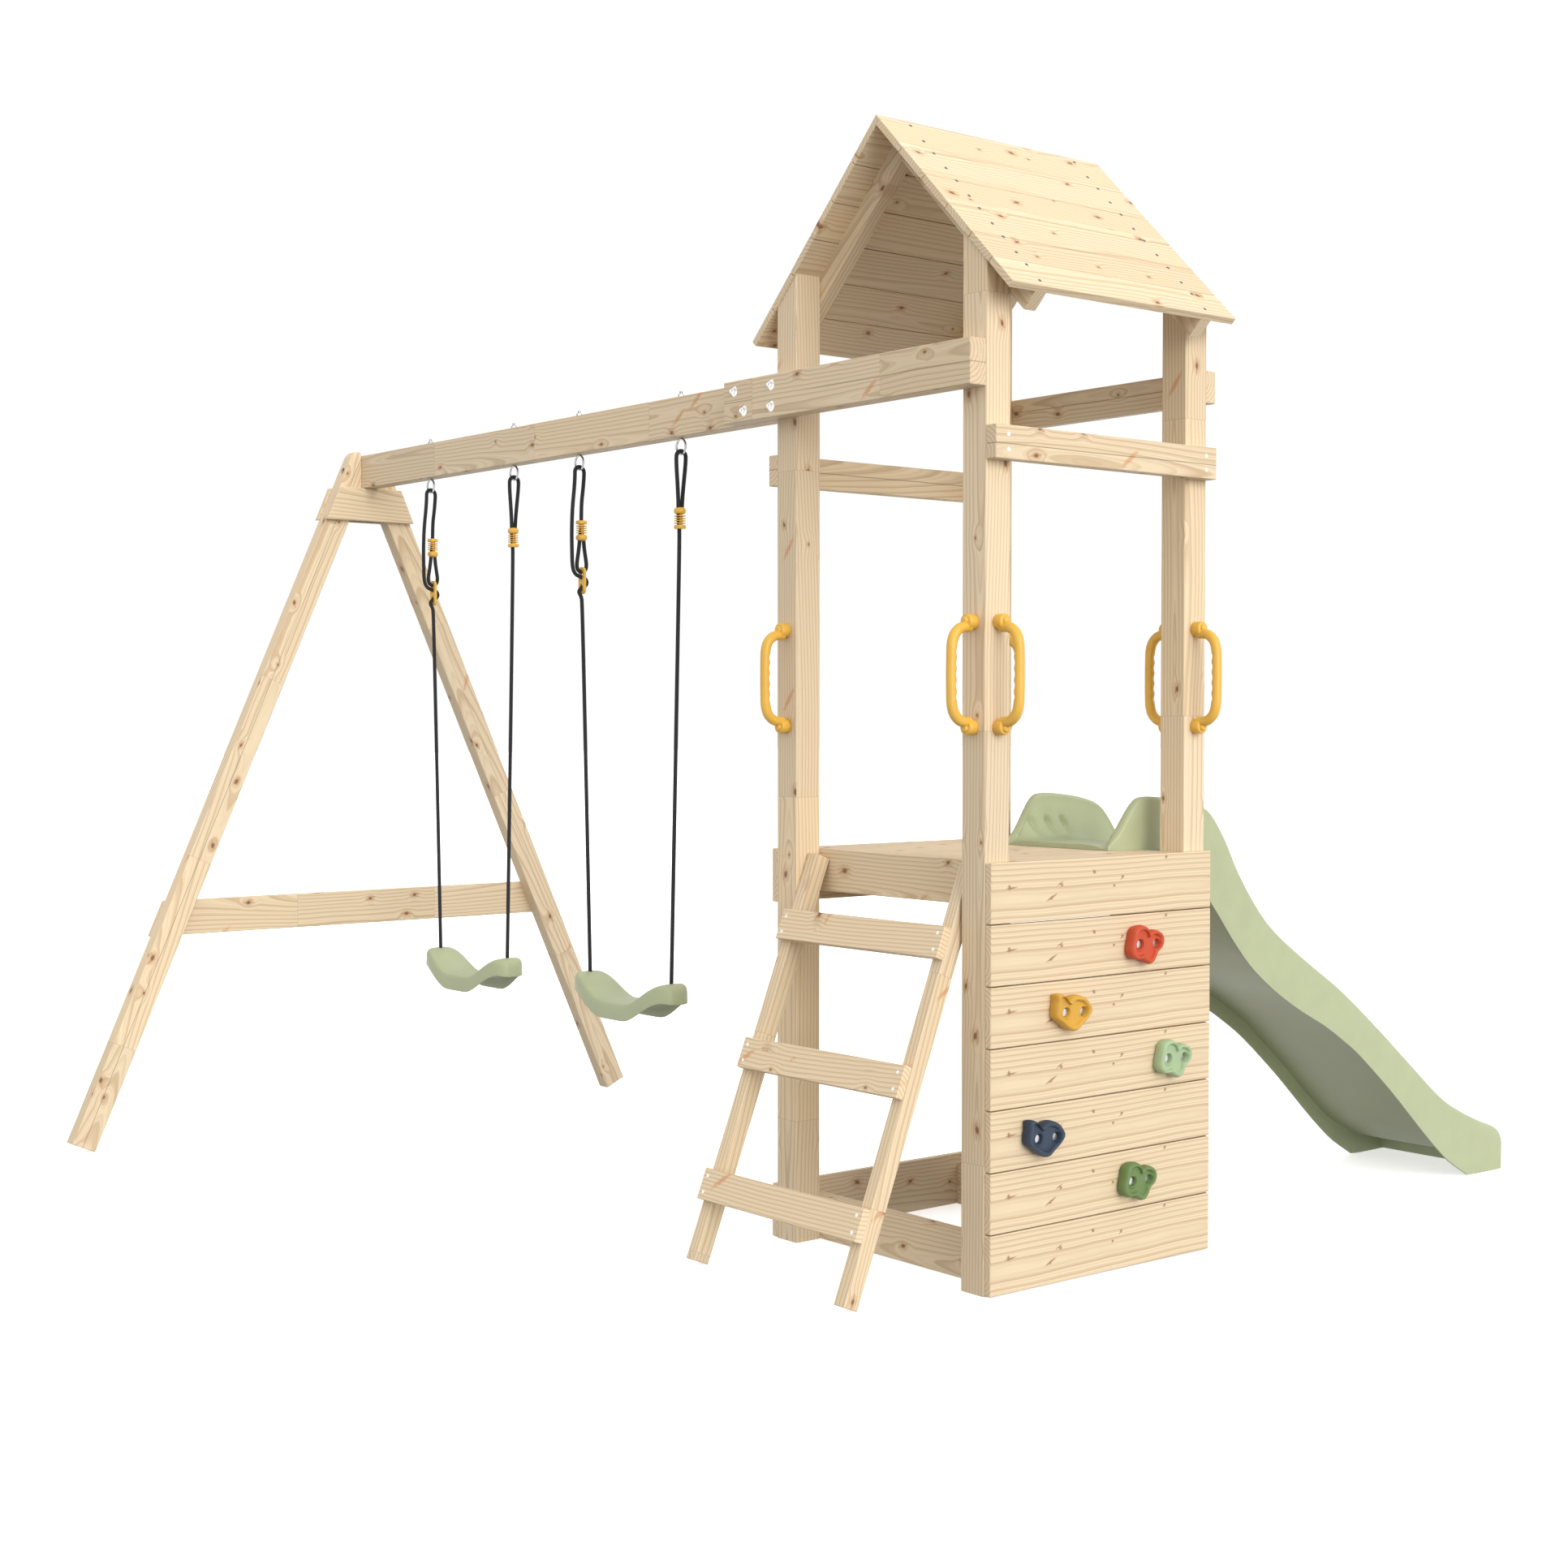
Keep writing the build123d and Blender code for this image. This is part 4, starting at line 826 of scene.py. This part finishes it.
class TOWER_OT_stones(bpy.types.Operator):
    """Builds the climbing stones: a lobed block with a raised rim, a dished face and two sunk holes. The
    outline is drawn in by the inset at each height, a ring round each hole is a bell curve of the
    distance from it, and the hole itself is a smooth step of that distance."""

    bl_idname = "tower.stones"
    bl_label = "Climbing stones"

    def execute(self, context):
        look = context.scene.plastic_look
        # a rounded stone and one with a pointed ear, in millimetres from the middle
        plain = [(-43, 35), (-22, 43), (-5, 38), (3, 27), (21, 31), (41, 24), (50, 10), (46, -7), (31, -19),
                 (20, -36), (6, -44), (-11, -37), (-22, -32), (-41, -31), (-53, -21), (-55, -7), (-51, 10)]
        eared = [(-53, 41), (-40, 42), (-31, 33), (-21, 27), (-11, 33), (6, 37), (30, 30), (44, 17), (52, 2),
                 (42, -13), (22, -28), (2, -40), (-19, -35), (-40, -21), (-56, -8), (-57, 10), (-54, 26)]
        # inset from the outline and height, from the wall up over the rolled rim into the dish
        rise = [(0.0050, 0.0), (0.0030, 0.003), (0.0010, 0.009), (0.0, 0.016), (0.0006, 0.022),
                (0.0024, 0.0268), (0.0056, 0.0295), (0.0084, 0.0298), (0.0108, 0.0280), (0.0124, 0.0250),
                (0.0136, 0.0226)]
        for name, y, z, outline, color in (
            ("stone_red", 0.453, 0.707, plain, look.red),
            ("stone_yellow", 0.225, 0.5775, eared, look.gold),
            ("stone_mint", 0.5465, 0.4495, plain, look.mint),
            ("stone_navy", 0.144, 0.320, eared, look.navy),
            ("stone_green", 0.4325, 0.193, plain, look.green),
        ):
            ring = smooth_ring(outline, 180) / 1000
            # shrinking the outline evenly: each point moves in by the same distance
            reach = np.linalg.norm(ring, axis=1)
            inset = np.array([r[0] for r in rise])
            share = 1 - inset[:, None] / reach[None, :]
            share = np.vstack([share, share[-1][None, :] * np.linspace(0.97, 0.02, 44)[:, None]])
            h = np.concatenate([[r[1] for r in rise], np.full(44, 0.0218)])[:, None] * np.ones_like(share)
            u, w = share * ring[None, :, 0], share * ring[None, :, 1]
            flat = np.arange(len(h))[:, None] > 8
            for hu, hw in ((-0.025, 0.001), (0.027, -0.001)):
                gap = np.hypot(u - hu, w - hw)
                h = h + 0.0022 * np.exp(-(((gap - 0.0128) / 0.0022) ** 2)) * flat
                h = h - 0.0112 / (1 + np.exp((gap - 0.0094) / 0.0007)) * flat
            points = np.stack([RIGHT + 0.018 + h, FRONT + y + u, z + w], axis=-1).reshape(-1, 3)
            rows, cols = u.shape
            faces = [f[::-1] for f in quads(rows, cols, True).tolist()]
            back, tip = list(range(cols)), list(range((rows - 1) * cols, rows * cols))
            faces += [back, tip[::-1]]
            obj = make(name + "_grip", points, faces)
            put(obj, moulded(name + "_skin", tuple(color), rough=0.55, grain=1400.0, mottle=0.05))
            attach(obj, "frame")
            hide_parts(name)
        return {"FINISHED"}


def rope_x(middle_x, side, z):
    """Where a rope hangs at a height: it leans in evenly from the eye to the seat."""
    share = max((PIVOT_Z - z) / (PIVOT_Z - SEAT_Z), 0)
    return middle_x + side * (EYE_HALF - DRAWN_IN * share)


def rope_routes(middle_x):
    """The two ropes of a swing as listed points, in metres: x leans in towards the seat."""

    def place(side, dy, z):
        return (rope_x(middle_x, side, z), SWING_Y + dy, z)

    # k is the loop's radius and c the height of its centre: the rope passes just over the eye's wire
    k, c = 0.014, PIVOT_Z + 0.00275 + 0.005 + 0.0004 - 0.014
    over = [(-k, c - 0.008), (-k, c + k * 0.42), (-k * 0.42, c + k), (k * 0.42, c + k), (k, c + k * 0.42),
            (k, c - 0.008)]
    right = [(0.0054, 1.699), (0.0056, 1.722), (0.009, 1.765), (0.013, 1.805)] + over[::-1]
    right += [(-0.013, 1.805), (-0.009, 1.765), (-0.0056, 1.722), (-0.0052, 1.694), (-0.002, 1.668),
              (0.0, 1.630), (0.0004, 1.100), (0.0, 0.515)]
    left = [(0.0, 0.515), (0.0004, 1.000), (0.0, 1.495), (-0.003, 1.512), (-0.011, 1.522), (-0.004, 1.533),
            (0.010, 1.5365), (0.017, 1.548), (0.010, 1.5595), (-0.006, 1.562), (-0.020, 1.568),
            (-0.028, 1.584), (-0.0285, 1.620), (-0.028, 1.680), (-0.024, 1.740), (-0.017, 1.790)]
    left += over + [(0.010, 1.788), (0.0045, 1.755), (0.0026, 1.716), (0.0015, 1.690), (-0.003, 1.664),
                    (-0.0052, 1.645), (-0.011, 1.612), (-0.015, 1.592), (-0.012, 1.578), (0.0, 1.5735),
                    (0.012, 1.578), (0.016, 1.592), (0.013, 1.612), (0.0084, 1.645), (0.0082, 1.668)]
    return [place(1, *p) for p in right], [place(-1, *p) for p in left]


def spline_line(route):
    """Points read from a smooth curve whose control points are the route's points."""
    curve = bpy.data.curves.new("route", "CURVE")
    curve.dimensions = "3D"
    curve.resolution_u = 24
    spline = curve.splines.new("NURBS")
    spline.points.add(len(route) - 1)
    for point, place in zip(spline.points, route):
        point.co = (*place, 1)
    spline.order_u = 3
    spline.use_endpoint_u = True
    holder = bpy.data.objects.new("route", curve)
    mesh = bpy.data.meshes.new_from_object(holder)
    points = np.zeros(len(mesh.vertices) * 3)
    mesh.vertices.foreach_get("co", points)
    bpy.data.meshes.remove(mesh)
    bpy.data.objects.remove(holder)
    bpy.data.curves.remove(curve)
    return points.reshape(-1, 3)


class TOWER_OT_ropes(bpy.types.Operator):
    """Builds the braided ropes along their routes, with their ferrules."""

    bl_idname = "tower.ropes"
    bl_label = "Ropes"

    def execute(self, context):
        look = context.scene.cord_look
        cord = braid("black_braid", tuple(look.black))
        yellow = moulded("yellow_clips", tuple(context.scene.plastic_look.yellow), rough=0.38, grain=1100.0,
                         mottle=0.03)
        sides = 18
        for mark, x in SWINGS:
            body = "swing_" + mark
            clips = self.ferrules(mark, x, yellow)
            clothe("adjuster_" + mark, yellow)
            knots = self.knots(mark, x, cord)
            for label, route in zip(("right", "left"), rope_routes(x)):
                line, along = spread(spline_line(route), 0.0035)
                points, faces = tube(line, look.thick / 2, (1, 0, 0), sides)
                row = np.arange(len(line) - 1)[:, None]
                col = np.arange(sides)[None, :]
                turn = np.broadcast_to(col / sides, (len(line) - 1, sides))
                ahead = along / (math.pi * look.thick * 1.25)
                a, b = (np.broadcast_to(ahead[row + k], turn.shape) for k in (0, 1))
                uv = np.stack([np.stack([turn, a], -1), np.stack([turn + 1 / sides, a], -1),
                               np.stack([turn + 1 / sides, b], -1), np.stack([turn, b], -1)],
                               axis=2).reshape(-1, 2)
                obj = make("braid_%s_%s" % (label, mark), points, faces, uv=uv)
                put(obj, cord)
                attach(obj, body)
                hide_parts("rope_%s_%s" % (label, mark))
        return {"FINISHED"}

    def ferrules(self, mark, x, yellow):
        """A ball end, a waist with three thin collars and a flange, turned about the rope."""
        found = {}
        for label, side, top, sign, dy in (("right", 1, 1.7100, -1, 0.0), ("left", -1, 1.6540, 1, 0.0025)):
            ball = [(0.0001, 0.0), (0.0070, 0.0002), (0.0118, 0.0020), (0.0143, 0.0055), (0.0148, 0.0095),
                    (0.0143, 0.0132), (0.0120, 0.0160), (0.0070, 0.0170)]
            for at in (0.0205, 0.0262, 0.0319, 0.0376):
                ball += [(0.0064, at), (0.0138, at + 0.0001), (0.0144, at + 0.0011), (0.0138, at + 0.0022),
                         (0.0064, at + 0.0024)]
            ball += [(0.0064, 0.0430), (0.0138, 0.0436), (0.0146, 0.0450), (0.0146, 0.0500),
                     (0.0134, 0.0525), (0.0001, 0.0535)]
            centre = (rope_x(x, side, FERRULE_Z), SWING_Y + dy, top)
            points, faces = lathe(ball, centre, (0, 0, sign), (1, 0, 0), 28)
            obj = make("ferrule_%s_%s" % (label, mark), points, faces)
            put(obj, yellow)
            edge = obj.modifiers.new("creases", "EDGE_SPLIT")
            edge.split_angle = math.radians(45)
            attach(obj, "swing_" + mark)
            if label == "right":
                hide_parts("ferrules_" + mark)
            found[label] = obj
        return found

    def knots(self, mark, x, cord):
        """A stopper knot: a thick round turn of the same rope under the seat."""
        found = {}
        for label, side in (("right", 1), ("left", -1)):
            t = np.linspace(0, 1, 90)
            a = t * 4.4 * np.pi
            wide = 0.0062 + 0.0006 * np.sin(2 * a)
            line = np.stack([x + side * 0.1774 + wide * np.cos(a),
                             SWING_Y + wide * np.sin(a),
                             0.5135 - 0.0135 * t], axis=1)
            points, faces = tube(line, 0.0049, (0, 0, 1), 14)
            rows = len(line) - 1
            uv = np.stack(np.meshgrid(np.arange(14) / 14, np.arange(rows) / 12), -1)
            uv = uv.reshape(-1, 1, 2).repeat(4, 1).reshape(-1, 2)
            obj = make("knot_%s_%s" % (label, mark), points, faces, uv=uv)
            put(obj, cord)
            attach(obj, "swing_" + mark)
            if label == "right":
                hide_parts("rope_knots_" + mark)
            found[label] = obj
        return found


class TOWER_OT_seats(bpy.types.Operator):
    """Builds the moulded saddle seats: a superellipse shrunk towards its middle, its height a smooth
    step along the seat for the trough, less the square of the place past the ropes and the cube of the
    place across."""

    bl_idname = "tower.seats"
    bl_label = "Seats"

    def execute(self, context):
        look = context.scene.cord_look
        sage = moulded("sage_seat", tuple(context.scene.plastic_look.sage), rough=0.44, grain=600.0,
                       mottle=0.03)
        half_l, half_w = look.seat_length / 2, look.seat_width / 2
        # share of the outline, drop below the saddle surface: top, rolled edge, skirt, inside, underside
        over = [(s, 0.0) for s in np.linspace(0.02, 0.84, 24)]
        over += [(0.880, 0.0004), (0.915, 0.0014), (0.945, 0.0034), (0.968, 0.0066), (0.984, 0.0112),
                 (0.992, 0.0175), (0.996, 0.026), (1.0, 0.038), (0.998, 0.0405), (0.985, 0.0412),
                 (0.972, 0.0400), (0.962, 0.024), (0.950, 0.013), (0.91, 0.0085)]
        over += [(s, 0.0070) for s in np.linspace(0.87, 0.02, 14)]
        share, drop = np.array(over).T
        turn = np.linspace(0, 2 * np.pi, 112, endpoint=False)
        # the footprint: a superellipse, between an ellipse and an oblong
        c, s = np.cos(turn), np.sin(turn)
        ring_x = half_l * np.sign(c) * np.abs(c) ** 0.62
        ring_y = half_w * np.sign(s) * np.abs(s) ** 0.62
        for mark, x in SWINGS:
            u = share[:, None] * ring_x[None, :]
            v = share[:, None] * ring_y[None, :]
            # the saddle: a flat-bottomed trough between the ropes, its ends and edges rolled down
            climb = np.clip((np.abs(u) - 0.045) / 0.150, 0, 1)
            trough = 1 - climb**2 * (3 - 2 * climb)
            beyond = np.clip((np.abs(u) - 0.178) / 0.037, 0, None)
            z = 0.546 - look.dip * trough - 0.008 * beyond**2 - 0.006 * np.abs(v / half_w) ** 3
            z = z - drop[:, None] - 0.004 * (1 - trough) * (drop[:, None] > 0.02)
            points = np.stack([x + u, SWING_Y + v, z], axis=-1).reshape(-1, 3)
            rows, cols = u.shape
            faces = quads(rows, cols, True)[:, ::-1].tolist()
            faces += [list(range(cols)), list(range((rows - 1) * cols, rows * cols))[::-1]]
            obj = make("saddle_" + mark, points, faces)
            put(obj, sage)
            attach(obj, "swing_" + mark)
            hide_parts("seat_" + mark)
        return {"FINISHED"}


class TOWER_OT_stage(bpy.types.Operator):
    """Sets the floor, the soft light and the camera."""

    bl_idname = "tower.stage"
    bl_label = "Stage"

    def execute(self, context):
        look = context.scene.stage_look
        scene = context.scene
        scene.view_settings.view_transform = "Standard"
        corner = np.array([(60 * x, 60 * y, -0.0005) for x, y in ((-1, -1), (1, -1), (1, 1), (-1, 1))], float)
        floor = make("floor", corner, [[0, 1, 2, 3]], smooth=False)
        mat, b, shader = finish("pale_floor", specular=0.1)
        cloud = b.noise(b.add("TexCoord").outputs["Object"], scale=0.7, detail=2.0)
        b.feed(shader.inputs["Base Color"], b.blend(cloud, (0.93, 0.93, 0.93, 1), (0.95, 0.95, 0.95, 1)))
        shader.inputs["Roughness"].default_value = 0.9
        shader.inputs["Emission Color"].default_value = (1, 1, 1, 1)
        shader.inputs["Emission Strength"].default_value = 0.60
        floor.visible_diffuse = False
        put(floor, mat)
        # an even white dome, dimmer below the floor's edge so that undersides stay in shade
        world = bpy.data.worlds.new("studio")
        world.use_nodes = True
        sky = Bench(world.node_tree)
        up = sky.split(sky.add("TexCoord").outputs["Generated"])[2]
        back = world.node_tree.nodes["Background"]
        back.inputs["Color"].default_value = (1, 1, 1, 1)
        sky.feed(back.inputs["Strength"], sky.ease(up, -0.30, -0.03, look.below, look.sky))
        scene.world = world
        lamp = bpy.data.lights.new("key", "SUN")
        lamp.energy = look.key
        lamp.angle = math.radians(45)
        lamp.color = (1.0, 0.985, 0.96)
        key = bpy.data.objects.new("key", lamp)
        key.rotation_euler = (math.radians(73), 0, math.radians(84))
        scene.collection.objects.link(key)
        data = bpy.data.cameras.new("camera")
        data.lens = look.lens
        data.sensor_width = 36
        data.clip_end = 200
        camera = bpy.data.objects.new("camera", data)
        camera.location = (4.62623, -3.75575, 1.2021)
        camera.rotation_euler = (math.radians(90 - 1.737), 0, math.radians(51.062))
        scene.collection.objects.link(camera)
        scene.camera = camera
        return {"FINISHED"}


class TOWER_PT_panel(bpy.types.Panel):
    """Lists the settings and the steps."""

    bl_idname = "TOWER_PT_panel"
    bl_label = "Play tower"
    bl_space_type = "VIEW_3D"
    bl_region_type = "UI"
    bl_category = "Tower"

    def draw(self, context):
        for group in ("timber_look", "plastic_look", "cord_look", "stage_look"):
            box = self.layout.box()
            data = getattr(context.scene, group)
            for key in data.__annotations__:
                box.prop(data, key)
        for kind in STEPS:
            self.layout.operator(kind.bl_idname)


STEPS = (TOWER_OT_stage, TOWER_OT_timbers, TOWER_OT_fittings, TOWER_OT_slide, TOWER_OT_grips, TOWER_OT_stones,
         TOWER_OT_ropes, TOWER_OT_seats)
GROUPS = {"timber_look": TimberLook, "plastic_look": PlasticLook, "cord_look": CordLook,
          "stage_look": StageLook}


def register():
    for kind in (*GROUPS.values(), *STEPS, TOWER_PT_panel):
        bpy.utils.register_class(kind)
    for key, kind in GROUPS.items():
        setattr(bpy.types.Scene, key, bpy.props.PointerProperty(type=kind))


def unregister():
    for key in GROUPS:
        delattr(bpy.types.Scene, key)
    for kind in reversed((*GROUPS.values(), *STEPS, TOWER_PT_panel)):
        bpy.utils.unregister_class(kind)


def main():
    register()
    for kind in STEPS:
        family, step = kind.bl_idname.split(".")
        getattr(getattr(bpy.ops, family), step)()


if __name__ == "__main__":
    main()
